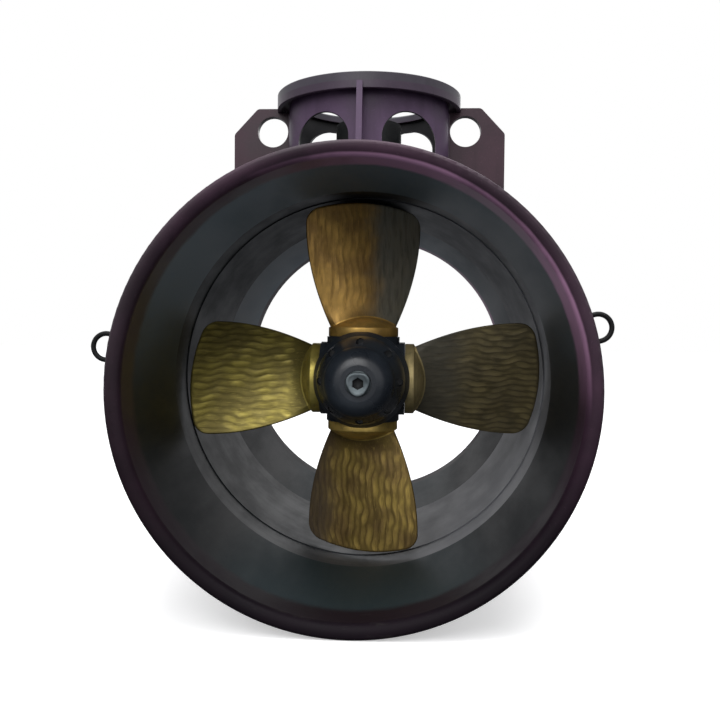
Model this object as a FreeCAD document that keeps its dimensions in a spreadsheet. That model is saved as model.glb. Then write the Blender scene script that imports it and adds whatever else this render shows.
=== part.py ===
import FreeCAD, Part
import Sketcher
import math
import os
from FreeCAD import Vector, Rotation, Placement

# Tunnel bow thruster with a controllable-pitch propeller.
# Origin: where the tunnel centre line (Y) meets the vertical drive line (Z).
# The propeller is on the -Y side, the motor flange faces +Z.

doc = FreeCAD.newDocument("BowThruster")
sheet = doc.addObject("Spreadsheet::Sheet", "Dims")

TABLE = [
    ("bore_radius", 500.0, "tunnel bore radius"),
    ("shell_wall", 15.0, "rolled tunnel shell"),
    ("liner_wall", 25.0, "machined centre ring"),
    ("liner_step", 3.0, "relief ahead of the propeller plane"),
    ("rim_radius", 533.0, "outside of the rounded end rims"),
    ("front_end", 790.0, "drive line to front mouth"),
    ("rear_end", 895.0, "drive line to rear mouth"),
    ("rim_length", 60.0, "end rim along the tunnel"),
    ("lip_inner", 24.0, "rounding inside the mouth"),
    ("lip_outer", 8.0, "rounding outside the mouth"),
    ("liner_front", 330.0, "centre ring, front joint"),
    ("liner_rear", 300.0, "centre ring, rear joint"),
    ("prop_plane", 215.0, "drive line to propeller plane"),
    ("step_plane", 205.0, "drive line to liner step"),
    ("seat_bore", 128.0, "hole for the leg trunk"),
    ("seat_wall", 22.0, "collar wall"),
    ("seat_top", 562.0, "collar top face"),
    ("seat_flange", 212.0, "collar flange radius"),
    ("seat_flange_thick", 22.0, "collar flange"),
    ("leg_half_x", 68.0, "leg half width"),
    ("leg_half_y", 84.0, "leg half chord"),
    ("trunk_radius", 124.0, "round leg trunk"),
    ("trunk_base", 440.0, "where the trunk starts"),
    ("pod_radius", 120.0, "gear pod"),
    ("pod_front", 84.0, "pod front face"),
    ("pod_rear", 190.0, "pod rear face"),
    ("pod_cavity", 97.0, "gear chamber"),
    ("bearing_seat", 75.0, "front bearing seat"),
    ("rear_seat", 92.0, "rear bearing seat"),
    ("pinion_seat", 56.0, "pinion bearing seat"),
    ("shaft_radius", 45.0, "front journal"),
    ("shaft_rear", 36.0, "gear and rear journal"),
    ("oil_bore", 14.0, "oil way through the shaft"),
    ("gasket_thick", 2.0, "leg gasket"),
    ("top_flange_thick", 28.0, "leg top flange"),
    ("housing_radius", 98.0, "input bearing housing"),
    ("housing_top", 742.0, "input bearing housing top"),
    ("input_radius", 28.0, "input shaft"),
    ("pinion_bore", 18.0, "input shaft in the pinion"),
    ("coupling_radius", 70.0, "driven coupling half"),
    ("coupling_top", 800.0, "coupling face"),
    ("drum_radius", 240.0, "pedestal drum"),
    ("drum_wall", 12.0, "pedestal drum wall"),
    ("flange_radius", 275.0, "motor flange"),
    ("flange_top", 833.0, "motor flange face"),
    ("flange_thick", 24.0, "motor flange"),
    ("skirt_low", 788.0, "flange skirt lower edge"),
    ("skirt_inner", 263.0, "flange skirt inside"),
    ("spigot_radius", 225.0, "motor spigot"),
    ("spigot_depth", 6.0, "motor spigot"),
    ("flange_bore", 212.0, "motor flange through bore"),
    ("flange_bolt_circle", 250.0, "motor bolt circle radius"),
    ("flange_bolt_hole", 9.25, "motor bolt hole radius"),
    ("window_half", 88.0, "pedestal window half width"),
    ("window_spring", 675.0, "front window spring line"),
    ("rear_window_spring", 714.0, "rear window spring line"),
    ("ear_hole_x", 290.0, "lifting eye from centre"),
    ("ear_hole_z", 732.0, "lifting eye height"),
    ("ear_hole", 46.0, "lifting eye radius"),
    ("ear_outer", 407.0, "ear outer edge"),
    ("ear_top", 801.0, "ear top edge"),
    ("ear_thick", 28.0, "ear plate"),
    ("hub_radius", 130.0, "hub barrel"),
    ("hub_front", 335.0, "hub front face"),
    ("hub_rear", 110.0, "hub rear face"),
    ("boss_radius", 101.0, "blade boss"),
    ("boss_top", 116.0, "blade boss face"),
    ("hub_cavity", 88.0, "crosshead chamber"),
    ("ring_radius", 76.0, "crank ring"),
    ("ring_base", 78.0, "crank ring lower face"),
    ("ring_top", 92.0, "crank ring upper face"),
    ("trunnion", 63.95, "blade trunnion"),
    ("port_radius", 64.0, "blade port in the hub"),
    ("palm_radius", 97.0, "blade palm"),
    ("palm_sphere", 172.0, "palm outer face about the hub centre"),
    ("blade_tip", 487.0, "blade tip radius"),
    ("root_chord", 188.0, "blade chord at the palm"),
    ("tip_chord", 404.0, "blade chord at the tip"),
    ("root_thick", 38.0, "blade thickness at the palm"),
    ("tip_thick", 13.0, "blade thickness at the tip"),
    ("tip_corner", 62.0, "blade tip corner rounding"),
    ("crank_offset", 45.0, "crank pin from blade axis"),
    ("crank_pin", 12.0, "crank pin radius"),
    ("rest_pitch", 22.0, "blade pitch angle, degrees"),
    ("piston_radius", 71.0, "servo piston"),
    ("cylinder_bore", 72.0, "servo cylinder bore"),
    ("rod_radius", 24.0, "piston rod"),
    ("nose_tip", 480.0, "hub nose tip"),
    ("gear_module", 5.25, "bevel gear module"),
    ("wheel_teeth", 32.0, "crown wheel teeth"),
    ("pinion_teeth", 17.0, "bevel pinion teeth"),
    ("loop_wire", 5.5, "lashing loop wire radius"),
    ("loop_height", 68.0, "lashing loop height"),
    ("loop_reach", 43.0, "lashing loop reach from the rim"),
    ("weld_gap", 0.3, "gap at fitted curved joints"),
]


class Q:
    """A size: its value and the sheet formula it comes from."""

    def __init__(self, value, text):
        self.value = float(value)
        self.text = text

    @staticmethod
    def of(other):
        return other if isinstance(other, Q) else Q(other, "%.6f" % float(other))

    def __add__(self, other):
        other = Q.of(other)
        return Q(self.value + other.value, "(%s + %s)" % (self.text, other.text))

    def __sub__(self, other):
        other = Q.of(other)
        return Q(self.value - other.value, "(%s - %s)" % (self.text, other.text))

    def __rsub__(self, other):
        return Q.of(other) - self

    def __mul__(self, other):
        other = Q.of(other)
        return Q(self.value * other.value, "(%s * %s)" % (self.text, other.text))

    def __truediv__(self, other):
        other = Q.of(other)
        return Q(self.value / other.value, "(%s / %s)" % (self.text, other.text))

    def __neg__(self):
        return Q(-self.value, "(0 - %s)" % self.text)

    __radd__ = __add__
    __rmul__ = __mul__


D = {}
for row, (word, number, note) in enumerate(TABLE, 1):
    sheet.set("A%d" % row, word)
    sheet.set("B%d" % row, "%r" % number)
    sheet.set("C%d" % row, note)
    sheet.setAlias("B%d" % row, word)
    D[word] = Q(number, "Dims." + word)
doc.recompute()

NODES = []


def bind(obj, prop, size):
    size = Q.of(size)
    if "Dims." in size.text:
        obj.setExpression(prop, size.text)


class Piece:
    """One sub-part made as a PartDesign body."""

    def __init__(self, label):
        self.label = label
        self.body = doc.addObject("PartDesign::Body", label)
        self.body.Label = label
        self.count = 0
        self.cuts = []
        NODES.append(self.body)

    def name(self, kind):
        self.count += 1
        return "%s_%s%d" % (self.label, kind, self.count)

    def origin(self, role):
        return [o for o in self.body.Origin.OriginFeatures if o.Role == role][0]

    def sketch(self, plane, offset=0.0):
        sk = self.body.newObject("Sketcher::SketchObject", self.name("sketch"))
        sk.AttachmentSupport = [(self.origin(plane), "")]
        sk.MapMode = "FlatFace"
        offset = Q.of(offset)
        sk.AttachmentOffset = Placement(Vector(0, 0, offset.value), Rotation())
        bind(sk, "AttachmentOffset.Base.z", offset)
        return sk

    def _fix(self, sk, geo, pos, point):
        for kind, size in (("DistanceX", point[0]), ("DistanceY", point[1])):
            size = Q.of(size)
            k = sk.addConstraint(Sketcher.Constraint(kind, -1, 1, geo, pos, size.value))
            bind(sk, "Constraints[%d]" % k, size)

    def circle(self, sk, point, radius):
        radius = Q.of(radius)
        x, y = Q.of(point[0]), Q.of(point[1])
        g = sk.addGeometry(Part.Circle(Vector(x.value, y.value, 0), Vector(0, 0, 1), radius.value), False)
        k = sk.addConstraint(Sketcher.Constraint("Radius", g, radius.value))
        bind(sk, "Constraints[%d]" % k, radius)
        self._fix(sk, g, 3, point)

    def loop(self, sk, start, steps):
        """Closed wire. A step is (x, y) for a line, or (x, y, radius, side) for an arc
        whose centre lies to the left (side 1) or right (side -1) of the way along it."""
        points = [start] + [(s[0], s[1]) for s in steps]
        first = len(sk.Geometry)
        ends = []
        for i, step in enumerate(steps):
            ax, ay = Q.of(points[i][0]).value, Q.of(points[i][1]).value
            bx, by = Q.of(points[i + 1][0]).value, Q.of(points[i + 1][1]).value
            if len(step) == 2:
                sk.addGeometry(Part.LineSegment(Vector(ax, ay, 0), Vector(bx, by, 0)), False)
                ends.append((1, 2))
            else:
                r, side = Q.of(step[2]).value, step[3]
                mx, my = (ax + bx) / 2, (ay + by) / 2
                half = math.hypot(bx - ax, by - ay) / 2
                rise = math.sqrt(max(r * r - half * half, 0.0))
                ux, uy = (bx - ax) / (2 * half), (by - ay) / (2 * half)
                cx, cy = mx - uy * rise * side, my + ux * rise * side
                a0 = math.atan2(ay - cy, ax - cx)
                a1 = math.atan2(by - cy, bx - cx)
                if side < 0:
                    a0, a1 = a1, a0
                while a1 <= a0:
                    a1 += 2 * math.pi
                base = Part.Circle(Vector(cx, cy, 0), Vector(0, 0, 1), r)
                sk.addGeometry(Part.ArcOfCircle(base, a0, a1), False)
                ends.append((1, 2) if side > 0 else (2, 1))
        n = len(steps)
        for i in range(n):
            j = (i + 1) % n
            sk.addConstraint(Sketcher.Constraint("Coincident", first + i, ends[i][1], first + j, ends[j][0]))
        for i in range(n):
            self._fix(sk, first + i, ends[i][0], points[i])
            if len(steps[i]) > 2:
                r = Q.of(steps[i][2])
                k = sk.addConstraint(Sketcher.Constraint("Radius", first + i, r.value))
                bind(sk, "Constraints[%d]" % k, r)

    def poly(self, sk, points):
        self.loop(sk, points[0], points[1:] + [points[0]])

    def turn(self, sk, axis, cut=False):
        kind = "Groove" if cut else "Revolution"
        f = self.body.newObject("PartDesign::" + kind, self.name(kind.lower()))
        f.Profile = sk
        f.ReferenceAxis = (sk, [axis])
        f.Angle = 360
        sk.Visibility = False
        if cut:
            self.cuts.append(f)
        return f

    def pad(self, sk, length, both=False, back=False):
        f = self.body.newObject("PartDesign::Pad", self.name("pad"))
        f.Profile = sk
        f.Length = Q.of(length).value
        bind(f, "Length", length)
        f.SideType = "Symmetric" if both else "One side"
        f.Reversed = back
        return f

    def pocket(self, sk, length, both=False, back=False):
        f = self.body.newObject("PartDesign::Pocket", self.name("pocket"))
        f.Profile = sk
        f.Type = "Length"
        f.Length = Q.of(length).value
        bind(f, "Length", length)
        f.SideType = "Symmetric" if both else "One side"
        f.Reversed = back
        self.cuts.append(f)
        return f

    def polar(self, feature, axis, count, angle=360.0):
        f = self.body.newObject("PartDesign::PolarPattern", self.name("polar"))
        f.Originals = [feature]
        f.Axis = (self.origin(axis), [""])
        f.Angle = angle
        f.Occurrences = count
        self.body.Tip = f
        return f

    def edges(self, test):
        doc.recompute()
        shape = self.body.Tip.Shape
        return [("Edge%d" % i) for i, e in enumerate(shape.Edges, 1) if test(e)]

    def fillet(self, size, test):
        base = self.body.Tip
        names = self.edges(test)
        if not names:
            raise RuntimeError("%s: no edge to round" % self.label)
        f = self.body.newObject("PartDesign::Fillet", self.name("fillet"))
        f.Base = (base, names)
        f.Radius = Q.of(size).value
        bind(f, "Radius", size)
        doc.recompute()
        return f

    def chamfer(self, size, test):
        base = self.body.Tip
        names = self.edges(test)
        if not names:
            raise RuntimeError("%s: no edge to chamfer" % self.label)
        f = self.body.newObject("PartDesign::Chamfer", self.name("chamfer"))
        f.Base = (base, names)
        f.Size = Q.of(size).value
        bind(f, "Size", size)
        doc.recompute()
        return f

    def place(self, placement):
        self.body.Placement = placement
        return self


def ring_edge(axis, at, radius, tol=0.6):
    """Circular edge about an axis ('Y' or 'Z') at a station and radius."""
    at, radius = Q.of(at).value, Q.of(radius).value

    def test(e):
        c = e.Curve
        if not hasattr(c, "Radius") or not hasattr(c, "Center"):
            return False
        p = c.Center
        off = math.hypot(p.x, p.z) if axis == "Y" else math.hypot(p.x, p.y)
        where = p.y if axis == "Y" else p.z
        return off < tol and abs(where - at) < tol and abs(c.Radius - radius) < tol
    return test


def any_of(*tests):
    return lambda e: any(t(e) for t in tests)


def turned_y(label, points):
    """A ring or shaft turned about the tunnel axis, from (y, radius) points."""
    p = Piece(label)
    sk = p.sketch("YZ_Plane")
    p.poly(sk, points)
    p.turn(sk, "H_Axis")
    return p


def turned_z(label, points):
    """A part turned about the drive line, from (radius, z) points."""
    p = Piece(label)
    sk = p.sketch("XZ_Plane")
    p.poly(sk, points)
    p.turn(sk, "V_Axis")
    return p


def group(label, shapes):
    """Several identical pieces sharing one node, as separate solids."""
    f = doc.addObject("Part::Feature", label)
    f.Label = label
    f.Shape = Part.makeCompound(shapes)
    f.Placement = Placement()
    NODES.append(f)
    return f


def hex_bolt(r, length, at, direction, spin=0.0):
    """Hexagon head bolt: under-head face at the given point, shank along direction."""
    af = 1.5 * r * 2
    head = 0.65 * 2 * r
    n = 6
    pts = [Vector(af / math.sqrt(3) * math.cos(math.radians(60 * i + spin)),
                  af / math.sqrt(3) * math.sin(math.radians(60 * i + spin)), 0) for i in range(n)]
    pts.append(pts[0])
    hexa = Part.Face(Part.makePolygon(pts)).extrude(Vector(0, 0, -head))
    cone = Part.makeCone(af / math.sqrt(3) * 1.02, af / 2 * 0.93, head * 0.32, Vector(0, 0, -head * 0.68), Vector(0, 0, -1))
    stem = Part.makeCylinder(af, head * 0.68, Vector(0, 0, 0), Vector(0, 0, -1))
    hexa = hexa.common(stem.fuse(cone))
    shank = Part.makeCylinder(r, length, Vector(0, 0, 0), Vector(0, 0, 1))
    bolt = hexa.fuse(shank).removeSplitter()
    bolt.Placement = Placement(at, Rotation(Vector(0, 0, 1), direction))
    return bolt


def cap_screw(r, length, at, direction):
    """Socket head screw: under-head face at the given point, shank along direction."""
    head = Part.makeCylinder(1.5 * r, 1.9 * r, Vector(0, 0, 0), Vector(0, 0, -1))
    pts = [Vector(0.85 * r * math.cos(math.radians(60 * i)), 0.85 * r * math.sin(math.radians(60 * i)), -1.9 * r - 1)
           for i in range(6)]
    pts.append(pts[0])
    sock = Part.Face(Part.makePolygon(pts)).extrude(Vector(0, 0, 1 + 1.0 * r))
    shank = Part.makeCylinder(r, length, Vector(0, 0, 0), Vector(0, 0, 1))
    s = head.cut(sock).fuse(shank).removeSplitter()
    s.Placement = Placement(at, Rotation(Vector(0, 0, 1), direction))
    return s


def on_circle(radius, count, start, axis, at):
    out = []
    for i in range(count):
        a = math.radians(start + 360.0 * i / count)
        if axis == "Z":
            out.append(Vector(radius * math.cos(a), radius * math.sin(a), at))
        else:
            out.append(Vector(radius * math.cos(a), at, radius * math.sin(a)))
    return out


v = {k: q.value for k, q in D.items()}
Y, Z = Vector(0, 1, 0), Vector(0, 0, 1)

# ---------------------------------------------------------------- tunnel
front, rear = -D["front_end"], D["rear_end"]
bore = D["bore_radius"]
shell_out = bore + D["shell_wall"]
liner_out = bore + D["liner_wall"]

for label, mouth, sign in (("front_bell_rim", front, 1), ("rear_bell_rim", rear, -1)):
    inner = mouth + D["rim_length"] * sign
    p = turned_y(label, [(mouth, bore), (mouth, D["rim_radius"]), (inner, D["rim_radius"]), (inner, bore)])
    p.fillet(D["lip_inner"], ring_edge("Y", mouth, bore))
    p.fillet(D["lip_outer"], ring_edge("Y", mouth, D["rim_radius"]))
    p.chamfer(6.0, ring_edge("Y", inner, D["rim_radius"]))

turned_y("front_tunnel_shell", [
    (front + D["rim_length"], bore), (front + D["rim_length"], shell_out),
    (-D["liner_front"], shell_out), (-D["liner_front"], bore)])
turned_y("rear_tunnel_shell", [
    (D["liner_rear"], bore), (D["liner_rear"], shell_out),
    (rear - D["rim_length"], shell_out), (rear - D["rim_length"], bore)])

# centre ring: relieved ahead of the propeller plane, holed for the leg
p = turned_y("propeller_liner", [
    (-D["liner_front"], bore + D["liner_step"]), (-D["liner_front"], liner_out),
    (D["liner_rear"], liner_out), (D["liner_rear"], bore),
    (-D["step_plane"], bore), (-D["step_plane"], bore + D["liner_step"])])
sk = p.sketch("XY_Plane", 400.0)
p.circle(sk, (0, 0), D["seat_bore"])
p.pocket(sk, 200.0, back=True)
p.chamfer(3.0, ring_edge("Y", -D["liner_front"], liner_out))
p.chamfer(3.0, ring_edge("Y", D["liner_rear"], liner_out))

# collar welded over the hole, its foot cut to the centre ring
p = turned_z("leg_seat_collar", [
    (D["seat_bore"], 480.0), (D["seat_bore"] + D["seat_wall"], 480.0),
    (D["seat_bore"] + D["seat_wall"], D["seat_top"] - D["seat_flange_thick"]),
    (D["seat_flange"], D["seat_top"] - D["seat_flange_thick"]),
    (D["seat_flange"], D["seat_top"]), (D["seat_bore"], D["seat_top"])])
sk = p.sketch("XZ_Plane")
p.circle(sk, (0, 0), liner_out + D["weld_gap"])
p.pocket(sk, 900.0, both=True)
sk = p.sketch("XY_Plane", D["seat_top"] - D["seat_flange_thick"] - 1.0)
p.circle(sk, (185.0, 0), 10.3)
hole = p.pocket(sk, D["seat_flange_thick"] + 2.0, back=True)
p.polar(hole, "Z_Axis", 12)

# ---------------------------------------------------------------- pedestal
drum_in = D["drum_radius"] - D["drum_wall"]
flange_under = D["flange_top"] - D["flange_thick"]
p = turned_z("pedestal_drum", [
    (drum_in, 430.0), (D["drum_radius"], 430.0),
    (D["drum_radius"], flange_under), (drum_in, flange_under)])
sk = p.sketch("XZ_Plane")
p.circle(sk, (0, 0), liner_out + D["weld_gap"])
p.pocket(sk, 900.0, both=True)
# arched openings: two at the front and two at the rear
foot = Q(572.0, "572")
for spring, sign in ((D["window_spring"], -1), (D["rear_window_spring"], 1)):
    for mid in (-1, 1):
        sk = p.sketch("XZ_Plane", 100.0 if sign < 0 else -100.0)
        xin = 46.0
        xout = 46.0 + 150.0
        a, b = (xin, xout) if mid > 0 else (-xout, -xin)
        p.loop(sk, (a, foot), [(b, foot), (b, spring), (a, spring, 75.5, 1), (a, foot)])
        p.pocket(sk, 300.0, back=(sign < 0))

p = turned_z("motor_flange", [
    (D["flange_bore"], flange_under), (D["skirt_inner"], flange_under), (D["skirt_inner"], D["skirt_low"]),
    (D["flange_radius"], D["skirt_low"]),
    (D["flange_radius"], D["flange_top"]), (D["spigot_radius"], D["flange_top"]),
    (D["spigot_radius"], D["flange_top"] - D["spigot_depth"]),
    (D["flange_bore"], D["flange_top"] - D["spigot_depth"])])
p.chamfer(2.0, any_of(ring_edge("Z", D["flange_top"], D["flange_radius"]),
                      ring_edge("Z", D["skirt_low"], D["flange_radius"])))
c225 = math.cos(math.radians(22.5))
s225 = math.sin(math.radians(22.5))
sk = p.sketch("XY_Plane", flange_under - 1.0)
p.circle(sk, (D["flange_bolt_circle"] * c225, D["flange_bolt_circle"] * s225), D["flange_bolt_hole"])
hole = p.pocket(sk, D["flange_thick"] + 2.0, back=True)
p.polar(hole, "Z_Axis", 8)

# triangular gussets on the tunnel crown, front and rear
gussets = []
for label, sign in (("front_gusset", -1), ("rear_gusset", 1)):
    p = Piece(label)
    gussets.append(NODES.pop())
    sk = p.sketch("YZ_Plane")
    gap = D["weld_gap"]
    inner = (D["drum_radius"] + gap) * sign
    p.poly(sk, [(inner, 440.0), (inner, flange_under), ((D["skirt_inner"] - 1.3) * sign, flange_under),
                ((D["skirt_inner"] - 1.3) * sign, D["skirt_low"] - gap), ((D["flange_radius"] + gap) * sign, D["skirt_low"] - gap),
                ((D["flange_radius"] + gap) * sign, 806.0), ((D["flange_radius"] + 8.0) * sign, 806.0),
                ((D["liner_front"] - 8.0 if sign < 0 else D["liner_rear"] - 8.0) * sign, 560.0),
                ((D["liner_front"] - 8.0 if sign < 0 else D["liner_rear"] - 8.0) * sign, 440.0)])
    p.pad(sk, 16.0, both=True)
    sk = p.sketch("XZ_Plane")
    p.circle(sk, (0, 0), liner_out + gap)
    p.pocket(sk, 1400.0, both=True)
    p.body.Placement = Placement(Vector(-14.0 if sign < 0 else 0.0, 0, 0), Rotation())

doc.recompute()
group("pedestal_gussets", [b.Shape.copy() for b in gussets])

# lifting ears: plates standing on the centre ring beside the drum
for label, side in (("left_lifting_ear", -1), ("right_lifting_ear", 1)):
    p = Piece(label)
    sk = p.sketch("XZ_Plane")
    x0 = (D["drum_radius"] + D["weld_gap"]) * side
    xo = D["ear_outer"] * side
    xs = (D["flange_radius"] + D["weld_gap"]) * side
    p.poly(sk, [(x0, 330.0), (x0, D["skirt_low"] - D["weld_gap"]), (xs, D["skirt_low"] - D["weld_gap"]), (xs, D["ear_top"]),
                (xo - 71.0 * side, D["ear_top"]),
                (xo, D["ear_top"] - 76.0), (xo, 330.0)])
    p.pad(sk, D["ear_thick"], both=True)
    sk = p.sketch("XZ_Plane")
    p.circle(sk, (D["ear_hole_x"] * side, D["ear_hole_z"]), D["ear_hole"])
    p.pocket(sk, 100.0, both=True)
    sk = p.sketch("XZ_Plane")
    p.circle(sk, (0, 0), liner_out + D["weld_gap"])
    p.pocket(sk, 300.0, both=True)
    corner = v["ear_outer"]
    p.fillet(16.0, lambda e: e.Curve.TypeId == "Part::GeomLine" and abs(e.tangentAt(e.FirstParameter).y) > 0.99
             and (abs(abs(e.CenterOfMass.x) - corner) < 1 and abs(e.CenterOfMass.z - v["ear_top"] + 76) < 1
                  or abs(abs(e.CenterOfMass.x) - corner + 71) < 1 and abs(e.CenterOfMass.z - v["ear_top"]) < 1))

# lashing loops: bent rod on the sides of the front rim
for label, side, height in (("left_lashing_loop", -1, 90.0), ("right_lashing_loop", 1, 140.0)):
    w, hgt, reach = v["loop_wire"], v["loop_height"], v["loop_reach"]
    # the foot of the loop sits on the rim at this angle
    a = math.asin(height / v["rim_radius"])
    b = hgt / 2 - w
    lead = reach - b - w
    bow = Part.makeTorus(b, w, Vector(0, 0, 0), Vector(0, 0, 1), 0, 360, 180)
    bow.rotate(Vector(0, 0, 0), Vector(0, 0, 1), -90)
    bow.translate(Vector(lead, 0, 0))
    legs = [Part.makeCylinder(w, lead - 0.4, Vector(0.4, y, 0), Vector(1, 0, 0)) for y in (-b, b)]
    rod = bow.fuse(legs).removeSplitter()
    feet = [Part.makeCylinder(w * 1.5, 3.0, Vector(0.4, y, 0), Vector(1, 0, 0)) for y in (-b, b)]
    rod = rod.fuse(feet).removeSplitter()
    # local x points away from the rim, local y runs round the rim
    ax = Vector(math.cos(a) * side, 0, math.sin(a))
    ay = Vector(-math.sin(a) * side, 0, math.cos(a))
    m = FreeCAD.Matrix(ax.x, ay.x, 0, 0, ax.y, ay.y, -1 if side > 0 else 1, 0, ax.z, ay.z, 0, 0, 0, 0, 0, 1)
    seat = Placement(ax * (v["rim_radius"] - 1.9) + Vector(0, -v["front_end"] + 24.0, 0), Placement(m).Rotation)
    rim = Part.makeCylinder(v["rim_radius"] + 0.15, 300.0, Vector(0, -v["front_end"] - 120.0, 0), Y)
    rim.Placement = seat.inverse().multiply(rim.Placement)
    f = doc.addObject("Part::Feature", label)
    f.Label = label
    f.Shape = rod.cut(rim)
    f.Placement = seat
    NODES.append(f)

# ---------------------------------------------------------------- leg and gear pod
p = Piece("gear_leg")
sk = p.sketch("XY_Plane", 60.0)
lens_r = Q.of((v["leg_half_x"] ** 2 + v["leg_half_y"] ** 2) / (2 * v["leg_half_x"]))
lens_r = (D["leg_half_x"] * D["leg_half_x"] + D["leg_half_y"] * D["leg_half_y"]) / (D["leg_half_x"] * 2.0)
p.loop(sk, (0, -D["leg_half_y"]), [(0, D["leg_half_y"], lens_r, 1), (0, -D["leg_half_y"], lens_r, 1)])
p.pad(sk, 420.0)
p.fillet(14.0, lambda e: e.Curve.TypeId == "Part::GeomLine" and abs(e.tangentAt(e.FirstParameter).z) > 0.99
         and abs(e.CenterOfMass.x) < 1)
sk = p.sketch("XZ_Plane")
p.poly(sk, [(0, D["trunk_base"] + 36.0), (90.0, D["trunk_base"]), (D["trunk_radius"], D["trunk_base"] + 34.0),
            (D["trunk_radius"], D["seat_top"]), (0, D["seat_top"])])
p.turn(sk, "V_Axis")
sk = p.sketch("YZ_Plane")
p.poly(sk, [(-D["pod_front"], 0), (-D["pod_front"], D["pod_radius"] - 3.0), (-D["pod_front"] + 3.0, D["pod_radius"]),
            (D["pod_rear"], D["pod_radius"]), (D["pod_rear"], 0)])
p.turn(sk, "H_Axis")
# gear chamber with both bearing seats
sk = p.sketch("YZ_Plane")
p.poly(sk, [(-D["pod_front"] - 1.0, 0), (-D["pod_front"] - 1.0, D["bearing_seat"]), (-54.0, D["bearing_seat"]),
            (-54.0, D["bearing_seat"] - 6.0), (-36.0, D["bearing_seat"] - 6.0), (-36.0, D["pod_cavity"] - 3.0), (-30.0, D["pod_cavity"]),
            (D["pod_rear"] + 1.0, D["pod_cavity"]), (D["pod_rear"] + 1.0, 0)])
p.turn(sk, "H_Axis", cut=True)
# vertical way: pinion bearing seat below, wider shaft space above
sk = p.sketch("XZ_Plane")
p.poly(sk, [(0, 40.0), (52.0, 40.0), (52.0, 108.0), (D["pinion_seat"], 108.0), (D["pinion_seat"], 146.0),
            (46.0, 146.0), (46.0, 480.0), (66.0, 500.0), (66.0, D["seat_top"] + 1.0), (0, D["seat_top"] + 1.0)])
p.turn(sk, "V_Axis", cut=True)
sk = p.sketch("XY_Plane", D["seat_top"] + 1.0)
p.circle(sk, (92.0, 0), 8.2)
hole = p.pocket(sk, 44.0)
p.polar(hole, "Z_Axis", 8)
sk = p.sketch("XZ_Plane", -(D["pod_rear"] + 1.0))
p.circle(sk, (108.5, 0), 5.2)
hole = p.pocket(sk, 26.0, back=True)
p.polar(hole, "Y_Axis", 12)

# gasket between leg seat and top flange
p = turned_z("leg_gasket", [
    (68.0, D["seat_top"]), (D["seat_flange"] - 2.0, D["seat_top"]),
    (D["seat_flange"] - 2.0, D["seat_top"] + D["gasket_thick"]), (68.0, D["seat_top"] + D["gasket_thick"])])
for rad, size, count in ((185.0, 10.6, 12), (92.0, 8.6, 8)):
    sk = p.sketch("XY_Plane", D["seat_top"] - 1.0)
    p.circle(sk, (rad, 0), size)
    p.polar(p.pocket(sk, 5.0, back=True), "Z_Axis", count)

# top flange with the tall input bearing housing, one casting
base_z = D["seat_top"] + D["gasket_thick"]
p = turned_z("input_bearing_housing", [
    (60.0, base_z), (D["seat_flange"], base_z), (D["seat_flange"], base_z + D["top_flange_thick"]),
    (122.0, base_z + D["top_flange_thick"]), (D["housing_radius"], base_z + D["top_flange_thick"] + 26.0),
    (D["housing_radius"], D["housing_top"]), (72.0, D["housing_top"]), (72.0, D["housing_top"] - 62.0),
    (60.0, D["housing_top"] - 62.0)])
for rad, size, count in ((185.0, 10.3, 12), (92.0, 8.3, 8)):
    sk = p.sketch("XY_Plane", base_z - 1.0)
    p.circle(sk, (rad, 0), size)
    p.polar(p.pocket(sk, D["top_flange_thick"] + 40.0 if count == 8 else D["top_flange_thick"] + 3.0, back=True), "Z_Axis", count)
for rad, size, count in ((92.0, 15.0, 8),):
    sk = p.sketch("XY_Plane", base_z + 16.0)
    p.circle(sk, (rad, 0), size)
    p.polar(p.pocket(sk, 80.0, back=True), "Z_Axis", count)

group("leg_fasteners",
      [hex_bolt(10.0, 48.0, q, Vector(0, 0, -1)) for q in on_circle(185.0, 12, 0, "Z", v["seat_top"] + v["gasket_thick"] + v["top_flange_thick"])]
      + [cap_screw(8.0, 56.0, q, Vector(0, 0, -1)) for q in on_circle(92.0, 8, 0, "Z", v["seat_top"] + v["gasket_thick"] + 16.0)])

# rear cover of the pod, domed
p = Piece("pod_tail_cover")
sk = p.sketch("YZ_Plane")
pr = D["pod_rear"]
p.loop(sk, (pr, 0), [(pr, D["pod_radius"]), (pr + 14.0, D["pod_radius"]), (pr + 70.0, 14.0, 128.0, -1), (pr + 70.0, 0), (pr, 0)])
p.turn(sk, "H_Axis")
sk = p.sketch("YZ_Plane")
p.poly(sk, [(pr - 1.0, 0), (pr - 1.0, 70.0), (pr + 8.0, 70.0), (pr + 20.0, 12.0), (pr + 20.0, 0)])
p.turn(sk, "H_Axis", cut=True)
sk = p.sketch("YZ_Plane")
p.poly(sk, [(pr - 30.0, D["rear_seat"] - 8.0), (pr - 30.0, D["pod_cavity"] - D["weld_gap"]), (pr, D["pod_cavity"] - D["weld_gap"]),
            (pr, D["rear_seat"] - 8.0)])
p.turn(sk, "H_Axis")
sk = p.sketch("XZ_Plane", -(D["pod_rear"] + 60.0))
p.circle(sk, (108.5, 0), 9.0)
p.polar(p.pocket(sk, 52.0, back=True), "Y_Axis", 12)
sk = p.sketch("XZ_Plane", -(D["pod_rear"] + 60.0))
p.circle(sk, (108.5, 0), 5.2)
p.polar(p.pocket(sk, 80.0, back=True), "Y_Axis", 12)
group("tail_cover_screws",
      [cap_screw(5.0, 24.0, q, Vector(0, -1, 0)) for q in on_circle(108.5, 12, 0, "Y", v["pod_rear"] + 8.0)])

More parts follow.
